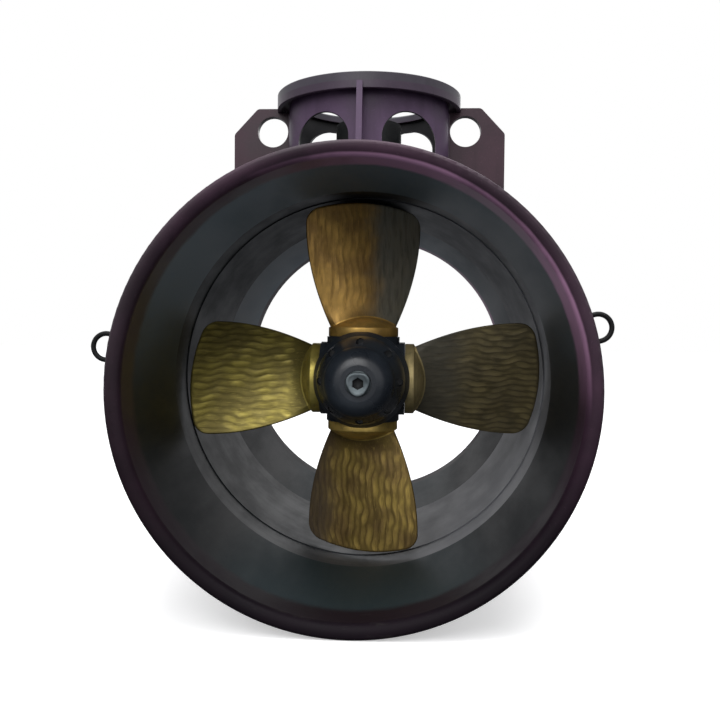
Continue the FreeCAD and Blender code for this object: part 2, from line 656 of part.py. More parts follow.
# front seal housing, lip seals and rope guard
turned_y("shaft_seal_housing", [
    (-104.0, 50.0), (-104.0, 100.0), (-98.0, 106.0), (-D["pod_front"], 106.0), (-D["pod_front"], D["bearing_seat"] - D["weld_gap"]),
    (-79.0, D["bearing_seat"] - D["weld_gap"]), (-79.0, 62.0), (-90.0, 62.0), (-90.0, 60.0), (-101.0, 60.0), (-101.0, 50.0)])
turned_y("shaft_lip_seals", [
    (-100.8, D["shaft_radius"] + 0.4), (-100.8, 59.7), (-90.2, 59.7), (-90.2, D["shaft_radius"] + 6.0), (-97.0, D["shaft_radius"] + 6.0),
    (-97.0, D["shaft_radius"] + 0.4)])
turned_y("rope_guard", [
    (-107.6, 112.0), (-107.6, 122.0), (-D["pod_front"] - 0.3, 122.0), (-D["pod_front"] - 0.3, 106.4), (-97.0, 106.4)])


def bearing(label_outer, axis, lo, hi, r_in, r_out, rollers, label_rollers=None):
    """Outer race as a body; inner race and rollers as separate solids."""
    wall = (r_out - r_in) * 0.26
    outer_pts = [(lo, r_out - wall), (lo, r_out), (hi, r_out), (hi, r_out - wall)]
    if axis == "Y":
        turned_y(label_outer, outer_pts)
    else:
        turned_z(label_outer, [(b, a) for a, b in outer_pts])
    start, up = (Vector(0, lo, 0), Y) if axis == "Y" else (Vector(0, 0, lo), Z)
    inner = Part.makeCylinder(r_in + wall, hi - lo, start, up).cut(Part.makeCylinder(r_in, hi - lo, start, up))
    gap = 0.3
    rr = (r_out - r_in - 2 * wall) / 2 - gap
    mid = (r_out + r_in) / 2
    solids = [inner]
    for c in on_circle(mid, rollers, 0, axis, lo + 3):
        solids.append(Part.makeCylinder(rr, hi - lo - 6, c, up))
    return solids


# ---------------------------------------------------------------- propeller shaft train
rollers = bearing("front_bearing_race", "Y", -78.5, -54.5, v["shaft_radius"] + 0.02, v["bearing_seat"] - 0.05, 18)
rollers += bearing("rear_bearing_race", "Y", 112.0, 146.0, v["shaft_rear"] + 0.02, v["pod_cavity"] - 0.05, 13)
group("propeller_shaft_rollers", rollers)
rollers = bearing("pinion_bearing_race", "Z", 109.0, 145.0, v["input_radius"] + 0.02, v["pinion_seat"] - 0.05, 13)
rollers += bearing("input_bearing_race", "Z", v["housing_top"] - 61.0, v["housing_top"] - 29.0, v["input_radius"] + 0.02, 71.95, 11)
group("input_shaft_rollers", rollers)

# hollow propeller shaft with its hub flange
turned_y("propeller_shaft", [
    (-138.0, D["oil_bore"]), (-138.0, 84.0), (-112.0, 84.0), (-112.0, 60.0), (-106.0, D["shaft_radius"]),
    (-46.0, D["shaft_radius"]), (-46.0, D["shaft_rear"]), (176.0, D["shaft_rear"]), (178.0, D["shaft_rear"] - 2.0), (178.0, D["oil_bore"])])
p = Piece("shaft_nut")
sk = p.sketch("XZ_Plane", -147.0)
n6 = [(64.0 * math.cos(math.radians(60 * i)), 64.0 * math.sin(math.radians(60 * i))) for i in range(6)]
p.poly(sk, [(Q.of(a), Q.of(b)) for a, b in n6])
p.circle(sk, (0, 0), D["shaft_rear"] + 0.05)
p.pad(sk, 22.0, back=True)


def bevel_gear(label, teeth, mate, axis, phase, bore_r, hub_to, face):
    """Straight bevel gear. Every tooth face runs to the common apex at the origin."""
    m = v["gear_module"]
    rp, rm = m * teeth / 2, m * mate / 2
    cone = math.hypot(rp, rm)
    delta = math.atan2(rp, rm)
    add, ded = 0.76 * m, 1.2 * m
    k = (cone - face) / cone
    e_r, e_a = math.sin(delta), math.cos(delta)
    n_r, n_a = math.cos(delta), -math.sin(delta)

    def ra(s, n):
        return (cone * s * e_r + n * s * n_r, cone * s * e_a + n * s * n_a)

    root = -ded
    o1, o2 = ra(1.0, root), ra(k, root)
    hub_r = min(bore_r + 14.0, o1[0] - 5.0)
    step_r = max(hub_r + 1.0, o1[0] - 18.0)
    profile = [(bore_r, o2[1]), (o2[0], o2[1]), (o1[0], o1[1]), (o1[0] - 3.0, o1[1] + 6.0), (step_r, o1[1] + 12.0),
               (hub_r, o1[1] + 12.0), (hub_r, hub_to), (bore_r, hub_to)]
    pts = [Vector(r, 0, a) for r, a in profile]
    pts.append(pts[0])
    blank = Part.Face(Part.makePolygon(pts)).revolve(Vector(0, 0, 0), Vector(0, 0, 1), 360)
    half = math.pi * m / 4 - 0.5
    tan20 = math.tan(math.radians(20))
    ns = (root - 1.2, add)
    ws = [half - n * tan20 for n in ns]
    ring = []
    for s in (1.0, k):
        for n, w, sg in ((ns[0], ws[0], -1), (ns[0], ws[0], 1), (ns[1], ws[1], 1), (ns[1], ws[1], -1)):
            r, a = ra(s, n)
            ring.append(Vector(r, sg * w * s, a))
    faces = [[0, 1, 2, 3], [4, 7, 6, 5], [0, 4, 5, 1], [1, 5, 6, 2], [2, 6, 7, 3], [3, 7, 4, 0]]
    shell = Part.makeShell([Part.Face(Part.makePolygon([ring[i] for i in f] + [ring[f[0]]])) for f in faces])
    tooth = Part.makeSolid(shell)
    if tooth.Volume < 0:
        tooth.reverse()
    out = blank
    copies = []
    for i in range(int(teeth)):
        t = tooth.copy()
        t.rotate(Vector(0, 0, 0), Vector(0, 0, 1), 360.0 * i / teeth + phase)
        copies.append(t)
    out = blank.fuse(copies).removeSplitter()
    solids = out.Solids
    f = doc.addObject("Part::Feature", label)
    f.Label = label
    f.Shape = solids[0] if len(solids) == 1 else out
    f.Placement = Placement() if axis == "Z" else Placement(Vector(0, 0, 0), Rotation(Vector(1, 0, 0), -90))
    NODES.append(f)
    return f


# The crown wheel's axis is +Y: its local x stays X and its local y points to -Z,
# so the wheel point nearest the pinion is at local angle -90 degrees.
wt, pt = v["wheel_teeth"], v["pinion_teeth"]
bevel_gear("crown_wheel", wt, pt, "Y", -90.0 + 180.0 / wt, v["shaft_rear"] + 0.02, 110.0, 28.0)
# the pinion point nearest the wheel is at +90 degrees: a tooth stands there
bevel_gear("bevel_pinion", pt, wt, "Z", 90.0, v["pinion_bore"] + 0.02, 108.5, 28.0)

# vertical input shaft
turned_z("input_shaft", [
    (0, 62.0), (D["pinion_bore"] - 2.0, 62.0), (D["pinion_bore"], 64.0), (D["pinion_bore"], 108.6), (D["input_radius"], 108.6),
    (D["input_radius"], D["coupling_top"] - 12.0),
    (D["input_radius"] - 2.0, D["coupling_top"] - 10.0), (0, D["coupling_top"] - 10.0)])
turned_z("input_shaft_seal", [
    (D["input_radius"] + 0.4, D["housing_top"] - 28.5), (71.7, D["housing_top"] - 28.5), (71.7, D["housing_top"] - 14.0),
    (D["input_radius"] + 8.0, D["housing_top"] - 14.0), (D["input_radius"] + 8.0, D["housing_top"] - 24.0),
    (D["input_radius"] + 0.4, D["housing_top"] - 24.0)])
p = turned_z("input_seal_cover", [
    (38.0, D["housing_top"] - 13.5), (71.7, D["housing_top"] - 13.5), (71.7, D["housing_top"]), (D["housing_radius"] - 2.0, D["housing_top"]),
    (D["housing_radius"] - 2.0, D["housing_top"] + 9.0), (38.0, D["housing_top"] + 9.0)])
p = turned_z("drive_coupling", [
    (D["input_radius"] + 0.02, 755.0), (46.0, 755.0), (46.0, 776.0), (D["coupling_radius"], 780.0), (D["coupling_radius"], D["coupling_top"]),
    (34.0, D["coupling_top"]), (34.0, D["coupling_top"] - 9.0), (D["input_radius"] + 0.02, D["coupling_top"] - 9.0)])
sk = p.sketch("XY_Plane", 770.0)
p.circle(sk, (55.0, 0), 5.5)
p.polar(p.pocket(sk, 40.0, back=True), "Z_Axis", 6)

# ---------------------------------------------------------------- hub
cy = -D["prop_plane"]
p = Piece("hub_body")
sk = p.sketch("YZ_Plane")
p.poly(sk, [(-D["hub_front"], 0), (-D["hub_front"], D["hub_radius"] - 12.0), (-D["hub_front"] + 24.0, D["hub_radius"]),
            (-D["hub_rear"] - 14.0, D["hub_radius"]), (-D["hub_rear"], D["hub_radius"] - 10.0), (-D["hub_rear"], 0)])
p.turn(sk, "H_Axis")
for plane in ("XY_Plane", "YZ_Plane"):
    sk = p.sketch(plane)
    # circle centred on the blade axis station
    if plane == "XY_Plane":
        p.circle(sk, (0, cy), D["boss_radius"])
    else:
        p.circle(sk, (cy, 0), D["boss_radius"])
    p.pad(sk, D["boss_top"] * 2.0, both=True)
sk = p.sketch("YZ_Plane")
p.poly(sk, [(-D["hub_front"] - 1.0, 0), (-D["hub_front"] - 1.0, D["hub_cavity"]), (-158.0, D["hub_cavity"]), (-158.0, 30.0),
            (-138.0, 30.0), (-138.0, 84.3), (-D["hub_rear"] + 1.0, 84.3), (-D["hub_rear"] + 1.0, 0)])
p.turn(sk, "H_Axis", cut=True)
for plane in ("XY_Plane", "YZ_Plane"):
    sk = p.sketch(plane)
    p.circle(sk, (0, cy) if plane == "XY_Plane" else (cy, 0), D["port_radius"])
    p.pocket(sk, (D["boss_top"] + 1.0) * 2.0, both=True)
    for side in (1, -1):
        sk = p.sketch(plane, (D["ring_top"] + 0.3) * side)
        p.circle(sk, (0, cy) if plane == "XY_Plane" else (cy, 0), D["ring_radius"] + 1.3)
        p.pocket(sk, 22.0, back=(side < 0))
        # round seat that lets the blade palm into the barrel
        sk = p.sketch(plane, D["boss_top"] * side)
        p.circle(sk, (0, cy) if plane == "XY_Plane" else (cy, 0), D["palm_radius"] + 0.6)
        p.pocket(sk, 30.0, back=(side > 0))
# holes for the shaft flange screws
sk = p.sketch("XZ_Plane", 137.0)
p.circle(sk, (66.0, 0), 8.2)
p.polar(p.pocket(sk, 20.0, back=True), "Y_Axis", 8)
sk = p.sketch("XZ_Plane", D["hub_front"] + 1.0)
p.circle(sk, (103.0, 0), 6.2)
p.polar(p.pocket(sk, 26.0, back=False), "Y_Axis", 8)

def drill(label, plane, offset, radius_at, size, deep, axis, count, back, first=0.0):
    """Ring of holes cut into an existing body."""
    body = [n for n in NODES if n.Label == label][0]
    q = Piece.__new__(Piece)
    q.label, q.body, q.count, q.cuts = label, body, 90 + len(body.Group), []
    sk = q.sketch(plane, offset)
    a = math.radians(first)
    q.circle(sk, (radius_at * math.cos(a), radius_at * math.sin(a)), size)
    q.polar(q.pocket(sk, deep, back=back), axis, count)
    return q


drill("propeller_shaft", "XZ_Plane", 111.0, 66.0, 8.2, 28.0, "Y_Axis", 8, True)
drill("propeller_shaft", "XZ_Plane", 111.0, 66.0, 13.0, 17.0, "Y_Axis", 8, True)

# servo cylinder: divider inside the hub, cylinder and nose in one casting
turned_y("servo_cylinder_head", [
    (-D["hub_front"], D["rod_radius"] + 0.05), (-D["hub_front"], D["hub_cavity"] - 0.3), (-305.0, D["hub_cavity"] - 0.3),
    (-305.0, 40.0), (-298.0, 40.0), (-298.0, D["rod_radius"] + 0.05)])
p = Piece("hub_nose")
sk = p.sketch("YZ_Plane")
hf, tip = -D["hub_front"], -D["nose_tip"]
p.loop(sk, (hf, 0), [(tip, 0), (tip, 46.0), (tip + 44.0, 92.0, 56.0, -1), (hf, D["hub_radius"] - 12.0, 230.0, -1), (hf, 0)])
p.turn(sk, "H_Axis")
sk = p.sketch("YZ_Plane")
p.poly(sk, [(hf + 1.0, 0), (hf + 1.0, D["cylinder_bore"]), (-430.0, D["cylinder_bore"]), (-438.0, D["cylinder_bore"] - 8.0), (-438.0, 0)])
p.turn(sk, "H_Axis", cut=True)
sk = p.sketch("YZ_Plane")
p.poly(sk, [(tip - 1.0, 0), (tip - 1.0, 33.0), (tip + 14.0, 33.0), (tip + 14.0, 0)])
p.turn(sk, "H_Axis", cut=True)
sk = p.sketch("XZ_Plane", D["hub_front"] + 90.0)
p.circle(sk, (103.0, 0), 10.0)
p.polar(p.pocket(sk, 76.0), "Y_Axis", 8)
sk = p.sketch("XZ_Plane", D["hub_front"] + 20.0)
p.circle(sk, (103.0, 0), 6.2)
p.polar(p.pocket(sk, 30.0, back=False), "Y_Axis", 8)
group("hub_screws",
      [cap_screw(8.0, 28.0, q, Vector(0, -1, 0)) for q in on_circle(66.0, 8, 0, "Y", -128.0)]
      + [cap_screw(6.0, 34.0, q, Vector(0, 1, 0)) for q in on_circle(103.0, 8, 0, "Y", -v["hub_front"] - 14.0)])

# threaded plug in the nose tip, rounded three-sided head with a hexagon socket
p = Piece("nose_plug")
sk = p.sketch("XZ_Plane", D["nose_tip"] - 14.0)
p.circle(sk, (0, 0), 32.7)
p.pad(sk, 12.0)
sk = p.sketch("XZ_Plane", D["nose_tip"] - 2.0)
tri = [(28.5 * math.cos(math.radians(a)), 28.5 * math.sin(math.radians(a))) for a in (70, 110, 190, 230, 310, 350)]
p.loop(sk, (Q.of(tri[0][0]), Q.of(tri[0][1])), [
    (Q.of(tri[1][0]), Q.of(tri[1][1]), 13.0, 1), (Q.of(tri[2][0]), Q.of(tri[2][1]), 60.0, 1), (Q.of(tri[3][0]), Q.of(tri[3][1]), 13.0, 1),
    (Q.of(tri[4][0]), Q.of(tri[4][1]), 60.0, 1), (Q.of(tri[5][0]), Q.of(tri[5][1]), 13.0, 1), (Q.of(tri[0][0]), Q.of(tri[0][1]), 60.0, 1)])
p.pad(sk, 12.0)
sk = p.sketch("XZ_Plane", D["nose_tip"] + 11.0)
p.poly(sk, [(Q.of(9.0 * math.cos(math.radians(60 * i))), Q.of(9.0 * math.sin(math.radians(60 * i)))) for i in range(6)])
p.pocket(sk, 14.0)

# ---------------------------------------------------------------- pitch mechanism
rest = math.radians(v["rest_pitch"])
shift = v["crank_offset"] * math.sin(rest)
p = Piece("crosshead")
sk = p.sketch("XZ_Plane")
p.circle(sk, (0, 0), 84.0)
p.pad(sk, 70.0, both=True)
sk = p.sketch("XZ_Plane")
p.poly(sk, [(-110.0, -110.0), (110.0, -110.0), (110.0, 110.0), (-110.0, 110.0)])
p.poly(sk, [(-75.5, -75.5), (75.5, -75.5), (75.5, 75.5), (-75.5, 75.5)])
p.pocket(sk, 90.0, both=True)
# one cross slot per blade, open on the crank side
for k in range(4):
    sk = p.sketch("XZ_Plane")
    a, b, c, d = (20.0, 56.0), (100.0, 56.0), (100.0, 100.0), (20.0, 100.0)
    ca, sa = round(math.cos(math.radians(90 * k))), round(math.sin(math.radians(90 * k)))
    # slots are turned about +Y, which takes z into x
    p.poly(sk, [(x * ca + z * sa, -x * sa + z * ca) for x, z in (a, b, c, d)])
    p.pocket(sk, D["crank_pin"] * 2.0 + 1.4, both=True)
sk = p.sketch("XZ_Plane")
p.circle(sk, (0, 0), D["rod_radius"] - 4.0)
p.pocket(sk, 90.0, both=True)
p.body.Placement = Placement(Vector(0, -v["prop_plane"] + shift, 0), Rotation())

piston_at = -380.0 + shift
rod_to = -v["prop_plane"] + shift
p = Piece("servo_piston")
sk = p.sketch("YZ_Plane")
p.poly(sk, [(-15.0, 0), (-15.0, D["piston_radius"]), (-4.0, D["piston_radius"]), (-4.0, D["piston_radius"] - 6.0), (4.0, D["piston_radius"] - 6.0),
            (4.0, D["piston_radius"]), (15.0, D["piston_radius"]), (15.0, D["rod_radius"]), (129.5, D["rod_radius"]),
            (129.5, D["rod_radius"] - 4.1), (208.0, D["rod_radius"] - 4.1), (208.0, 0)])
p.turn(sk, "H_Axis")
p.body.Placement = Placement(Vector(0, piston_at, 0), Rotation())
p = turned_y("piston_seal", [(-3.8, D["piston_radius"] - 5.8), (-3.8, D["cylinder_bore"] - 0.2), (3.8, D["cylinder_bore"] - 0.2), (3.8, D["piston_radius"] - 5.8)])
p.body.Placement = Placement(Vector(0, piston_at, 0), Rotation())

# ---------------------------------------------------------------- blades
PITCH = Rotation(Vector(0, 0, 1), v["rest_pitch"])


def blade_placement(k):
    turn = Rotation(Vector(0, 1, 0), 90.0 * k)
    return Placement(Vector(0, -v["prop_plane"], 0), turn.multiply(PITCH))


bolt_spots = [(30.0, 46.0), (-30.0, 46.0), (30.0, -46.0), (-30.0, -46.0)]
for k in range(4):
    p = Piece("blade_%d" % (k + 1))
    stations = ((150.0, D["root_chord"], D["root_thick"]), (300.0, None, None), (520.0, D["tip_chord"], D["tip_thick"]))
    secs = []
    for zed, chord, thick in stations:
        if chord is None:
            f = (zed - 150.0) / 370.0
            chord = D["root_chord"] + (D["tip_chord"] - D["root_chord"]) * f
            thick = D["root_thick"] + (D["tip_thick"] - D["root_thick"]) * 0.55
        sk = p.sketch("XY_Plane", zed)
        edge = 2.6
        hc, ht = chord / 2.0, thick / 2.0
        # lens section: one arc each side, blunt edges
        sag = ht.value - edge
        rad = Q.of((hc.value ** 2 + sag ** 2) / (2 * sag))
        p.loop(sk, (-hc, -edge), [(hc, -edge, rad, 1), (hc, edge), (-hc, edge, rad, 1), (-hc, -edge)])
        secs.append(sk)
    loft = p.body.newObject("PartDesign::AdditiveLoft", p.name("loft"))
    loft.Profile = secs[0]
    loft.Sections = secs[1:]
    loft.Ruled = False
    # tip arc concentric with the tunnel, corners rounded
    slope = (v["tip_chord"] - v["root_chord"]) / 2 / 370.0
    alpha = math.atan(slope)
    nx, nz = -math.cos(alpha), math.sin(alpha)
    rc, rt = v["tip_corner"], v["blade_tip"]
    # corner circle: its centre is 2 mm short of tangent to the blade edge and touches the tip arc
    px, pz = v["root_chord"] / 2 + nx * (rc - 2.0), 150.0 + nz * (rc - 2.0)
    ux, uz = math.sin(alpha), math.cos(alpha)
    bq, cq = px * ux + pz * uz, px * px + pz * pz - (rt - rc) ** 2
    run = -bq + math.sqrt(bq * bq - cq)
    cx, cz = px + run * ux, pz + run * uz
    x1, z1 = cx - rc * nx, cz - rc * nz
    x2, z2 = cx * rt / (rt - rc), cz * rt / (rt - rc)
    sk = p.sketch("XZ_Plane")
    p.loop(sk, (x1, 100.0), [(x1, z1), (x2, z2, D["tip_corner"], 1), (-x2, z2, D["blade_tip"], 1), (-x1, z1, D["tip_corner"], 1),
                             (-x1, 100.0), (x1, 100.0)])
    p.poly(sk, [(-400.0, 90.0), (400.0, 90.0), (400.0, 700.0), (-400.0, 700.0)])
    p.pocket(sk, 200.0, both=True)
    # round palm, its outer face part of a sphere about the hub centre
    sk = p.sketch("XZ_Plane")
    edge_z = math.sqrt(v["palm_sphere"] ** 2 - (v["palm_radius"]) ** 2)
    p.loop(sk, (0, D["boss_top"] + 0.3), [
        (D["palm_radius"], D["boss_top"] + 0.3), (D["palm_radius"], Q.of(edge_z)), (0, D["palm_sphere"], D["palm_sphere"], 1), (0, D["boss_top"] + 0.3)])
    p.turn(sk, "V_Axis")
    sk = p.sketch("XY_Plane", D["ring_top"])
    p.circle(sk, (0, 0), D["trunnion"])
    p.pad(sk, D["boss_top"] + 2.0 - D["ring_top"])
    for bx, by in bolt_spots:
        sk = p.sketch("XY_Plane", 146.0)
        p.circle(sk, (bx, by), 10.6)
        p.pocket(sk, 40.0, back=True)
        sk = p.sketch("XY_Plane", D["ring_top"] - 1.0)
        p.circle(sk, (bx, by), 7.2)
        p.pocket(sk, 70.0, back=True)
    p.body.Placement = blade_placement(k)

    c = Piece("crank_ring_%d" % (k + 1))
    sk = c.sketch("XY_Plane", D["ring_base"])
    c.circle(sk, (0, 0), D["ring_radius"])
    for bx, by in bolt_spots:
        c.circle(sk, (bx, by), 7.2)
    c.pad(sk, D["ring_top"] - D["ring_base"])
    sk = c.sketch("XY_Plane", 58.0)
    c.circle(sk, (D["crank_offset"], 0), D["crank_pin"])
    c.pad(sk, D["ring_base"] - 58.0 + 1.0)
    c.body.Placement = blade_placement(k)

    place = blade_placement(k)
    screws = []
    for bx, by in bolt_spots:
        s = cap_screw(7.0, 64.0, Vector(bx, by, 146.0), Vector(0, 0, -1))
        s.Placement = place.multiply(s.Placement)
        screws.append(s)
    group("blade_%d_screws" % (k + 1), screws)

# ---------------------------------------------------------------- small fittings
# two oil pipes from the leg head out through the pedestal wall
pipes = []
for side in (-1, 1):
    up = Part.makeCylinder(11.0, 66.0, Vector(-148.0, 30.0 * side, 592.4), Vector(0, 0, 1))
    nut = Part.makeCylinder(17.0, 18.0, Vector(-148.0, 30.0 * side, 592.4), Vector(0, 0, 1))
    head = Part.makeCylinder(16.0, 22.0, Vector(-148.0, 30.0 * side, 668.0), Vector(0, 0, 1))
    neck = Part.makeCylinder(11.0, 14.0, Vector(-148.0, 30.0 * side, 656.0), Vector(0, 0, 1))
    pipes.append(up.fuse([nut, neck, head]).removeSplitter())
group("oil_pipes", pipes)

# sacrificial anodes on both sides of the leg
anodes = []
for side in (-1, 1):
    a = Part.makeBox(14.0, 70.0, 150.0, Vector(0, -35.0, 0))
    a = a.makeChamfer(5.0, [e for e in a.Edges])
    lens = v["leg_half_x"]
    a.translate(Vector(lens + 0.4 if side > 0 else -lens - 14.4, 0.0, 230.0))
    anodes.append(a)
group("leg_anodes", anodes)

# drain plug under the pod
p = Piece("drain_plug")
sk = p.sketch("XY_Plane", -(D["pod_radius"] + 9.0))
p.poly(sk, [(Q.of(14.0 * math.cos(math.radians(60 * i))), Q.of(96.0 + 14.0 * math.sin(math.radians(60 * i)))) for i in range(6)])
p.pad(sk, 8.7)

# ---------------------------------------------------------------- check and write
doc.recompute()
bad = []
for o in doc.Objects:
    if "Invalid" in o.State or "Error" in o.State:
        bad.append("%s %s" % (o.Name, o.State))
for o in doc.Objects:
    if o.TypeId in ("PartDesign::Pocket", "PartDesign::Groove") and o.BaseFeature is not None:
        if not o.Shape.Volume < o.BaseFeature.Shape.Volume - 1.0:
            bad.append("%s cuts nothing" % o.Name)
for o in NODES:
    if o.Shape.isNull() or not o.Shape.isValid():
        bad.append("%s shape is null or not valid" % o.Label)
    elif not o.Shape.Solids:
        bad.append("%s has no solid" % o.Label)
if bad:
    raise RuntimeError("; ".join(bad))

os.makedirs("parts", exist_ok=True)
for o in NODES:
    o.Shape.exportStep(os.path.join("parts", o.Label + ".step"))
    b = o.Shape.BoundBox
    print("%-26s %3d solids %12.0f mm3  x %7.1f %7.1f  y %7.1f %7.1f  z %7.1f %7.1f" % (
        o.Label, len(o.Shape.Solids), o.Shape.Volume, b.XMin, b.XMax, b.YMin, b.YMax, b.ZMin, b.ZMax))
print(len(NODES), "nodes")
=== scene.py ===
import bpy
import bmesh
import math
from mathutils import Matrix, Vector


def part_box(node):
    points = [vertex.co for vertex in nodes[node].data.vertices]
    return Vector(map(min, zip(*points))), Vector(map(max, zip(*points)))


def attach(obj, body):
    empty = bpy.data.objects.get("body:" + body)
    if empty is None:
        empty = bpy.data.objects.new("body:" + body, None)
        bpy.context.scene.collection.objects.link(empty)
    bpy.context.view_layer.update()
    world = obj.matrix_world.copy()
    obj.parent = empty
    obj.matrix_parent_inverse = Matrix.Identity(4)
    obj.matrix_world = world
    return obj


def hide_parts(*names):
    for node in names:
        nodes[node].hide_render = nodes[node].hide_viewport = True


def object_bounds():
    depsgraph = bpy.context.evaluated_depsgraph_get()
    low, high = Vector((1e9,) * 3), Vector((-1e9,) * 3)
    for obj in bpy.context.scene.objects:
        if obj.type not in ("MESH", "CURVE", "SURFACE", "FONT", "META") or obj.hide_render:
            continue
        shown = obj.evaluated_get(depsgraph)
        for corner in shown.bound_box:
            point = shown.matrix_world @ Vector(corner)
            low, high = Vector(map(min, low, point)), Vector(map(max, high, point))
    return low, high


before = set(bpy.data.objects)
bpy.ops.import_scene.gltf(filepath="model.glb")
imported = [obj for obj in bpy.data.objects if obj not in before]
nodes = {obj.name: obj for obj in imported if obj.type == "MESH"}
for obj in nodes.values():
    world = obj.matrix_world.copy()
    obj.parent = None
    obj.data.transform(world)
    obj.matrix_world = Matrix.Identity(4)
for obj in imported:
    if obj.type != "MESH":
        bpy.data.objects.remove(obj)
cad_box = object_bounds()
scene = bpy.context.scene


# ------------------------------------------------------------------ node helpers
def lin(r, g, b):
    out = []
    for c in (r, g, b):
        c = c / 255.0
        out.append(c / 12.92 if c <= 0.04045 else ((c + 0.055) / 1.055) ** 2.4)
    return (out[0], out[1], out[2], 1.0)


class Mat:
    """A node material with short calls for its textures."""

    def __init__(self, name, rough=0.5, metal=0.0, ior=1.5, coat=0.0, coat_rough=0.1):
        self.m = bpy.data.materials.new(name)
        self.m.use_nodes = True
        self.nt = self.m.node_tree
        self.b = self.nt.nodes["Principled BSDF"]
        self.b.inputs["Roughness"].default_value = rough
        self.b.inputs["Metallic"].default_value = metal
        self.b.inputs["IOR"].default_value = ior
        self.b.inputs["Coat Weight"].default_value = coat
        self.b.inputs["Coat Roughness"].default_value = coat_rough
        self.co = self.node("ShaderNodeTexCoord").outputs["Object"]

    def node(self, kind, **props):
        n = self.nt.nodes.new(kind)
        for k, val in props.items():
            setattr(n, k, val)
        return n

    def put(self, sock, value):
        if isinstance(value, bpy.types.NodeSocket):
            self.nt.links.new(value, sock)
        else:
            sock.default_value = value

    def math(self, op, a, b=None, c=None, clamp=False):
        n = self.node("ShaderNodeMath", operation=op, use_clamp=clamp)
        self.put(n.inputs[0], a)
        if b is not None:
            self.put(n.inputs[1], b)
        if c is not None:
            self.put(n.inputs[2], c)
        return n.outputs[0]

    def vmath(self, op, a, b=None):
        n = self.node("ShaderNodeVectorMath", operation=op)
        self.put(n.inputs[0], a)
        if b is not None:
            self.put(n.inputs[1], b)
        return n.outputs["Value"] if op in ("LENGTH", "DOT_PRODUCT", "DISTANCE") else n.outputs["Vector"]

    def split(self, vec):
        n = self.node("ShaderNodeSeparateXYZ")
        self.put(n.inputs[0], vec)
        return n.outputs[0], n.outputs[1], n.outputs[2]

    def join(self, x, y, z):
        n = self.node("ShaderNodeCombineXYZ")
        for s, val in zip(n.inputs, (x, y, z)):
            self.put(s, val)
        return n.outputs[0]

    def noise(self, scale, detail=4.0, rough=0.55, stretch=None, shift=None, vec=None, warp=0.0):
        v = vec if vec is not None else self.co
        if shift is not None:
            v = self.vmath("ADD", v, shift)
        if stretch is not None:
            v = self.vmath("MULTIPLY", v, stretch)
        n = self.node("ShaderNodeTexNoise")
        n.inputs["Scale"].default_value = scale
        n.inputs["Detail"].default_value = detail
        n.inputs["Roughness"].default_value = rough
        n.inputs["Distortion"].default_value = warp
        self.put(n.inputs["Vector"], v)
        return n.outputs[0]

    def voronoi(self, scale, vec=None, feature="F1", out="Distance"):
        n = self.node("ShaderNodeTexVoronoi", feature=feature)
        n.inputs["Scale"].default_value = scale
        self.put(n.inputs["Vector"], vec if vec is not None else self.co)
        return n.outputs[out]

    def step(self, value, lo, hi, a=0.0, b=1.0, smooth=True):
        n = self.node("ShaderNodeMapRange", interpolation_type="SMOOTHSTEP" if smooth else "LINEAR", clamp=True)
        self.put(n.inputs["Value"], value)
        n.inputs["From Min"].default_value = lo
        n.inputs["From Max"].default_value = hi
        n.inputs["To Min"].default_value = a
        n.inputs["To Max"].default_value = b
        return n.outputs["Result"]

    def mix(self, fac, a, b, mode="MIX"):
        n = self.node("ShaderNodeMix", data_type="RGBA", blend_type=mode)
        self.put(n.inputs[0], fac)
        self.put(n.inputs[6], a)
        self.put(n.inputs[7], b)
        return n.outputs[2]

    def ramp(self, fac, stops):
        n = self.node("ShaderNodeValToRGB")
        e = n.color_ramp.elements
        while len(e) < len(stops):
            e.new(0.5)
        for el, (pos, col) in zip(e, stops):
            el.position = pos
            el.color = col
        self.put(n.inputs[0], fac)
        return n.outputs[0]

    def bump(self, height, strength, distance, normal=None):
        n = self.node("ShaderNodeBump")
        n.inputs["Strength"].default_value = strength
        n.inputs["Distance"].default_value = distance
        self.put(n.inputs["Height"], height)
        if normal is not None:
            self.put(n.inputs["Normal"], normal)
        return n.outputs[0]

    def out(self, color=None, rough=None, normal=None, metal=None):
        if color is not None:
            self.put(self.b.inputs["Base Color"], color)
        if rough is not None:
            self.put(self.b.inputs["Roughness"], rough)
        if metal is not None:
            self.put(self.b.inputs["Metallic"], metal)
        if normal is not None:
            self.put(self.b.inputs["Normal"], normal)
        return self.m


def sprayed(w, dark, light, seed=0.0):
    """Sprayed marine paint: cloudy tone, run marks downwards, fine dust and rubbed specks."""
    cloud = w.noise(3.2, 5, 0.6, shift=(seed, 0, 0))
    cloud = w.step(cloud, 0.3, 0.72)
    col = w.mix(cloud, dark, light)
    runs = w.noise(26.0, 3, 0.5, stretch=(1.0, 1.0, 0.12), shift=(0, seed, 0))
    col = w.mix(w.step(runs, 0.52, 0.8, 0.0, 0.35), col, tuple(0.62 * c for c in dark[:3]) + (1.0,))
    dust = w.noise(190.0, 2, 0.5)
    col = w.mix(w.step(dust, 0.62, 0.8, 0.0, 0.30), col, tuple(min(1.0, 1.9 * c + 0.01) for c in light[:3]) + (1.0,))
    return col, cloud


def orange_peel(w, scale=230.0, strength=0.22, distance=0.0006):
    fine = w.noise(scale, 2, 0.5)
    wide = w.noise(9.0, 3, 0.5)
    n = w.bump(fine, strength, distance)
    return w.bump(wide, 0.10, 0.004, n)


PURPLE_D, PURPLE_L = lin(38, 25, 34), lin(66, 43, 59)
SLATE_D, SLATE_L = lin(14, 18, 20), lin(27, 33, 36)


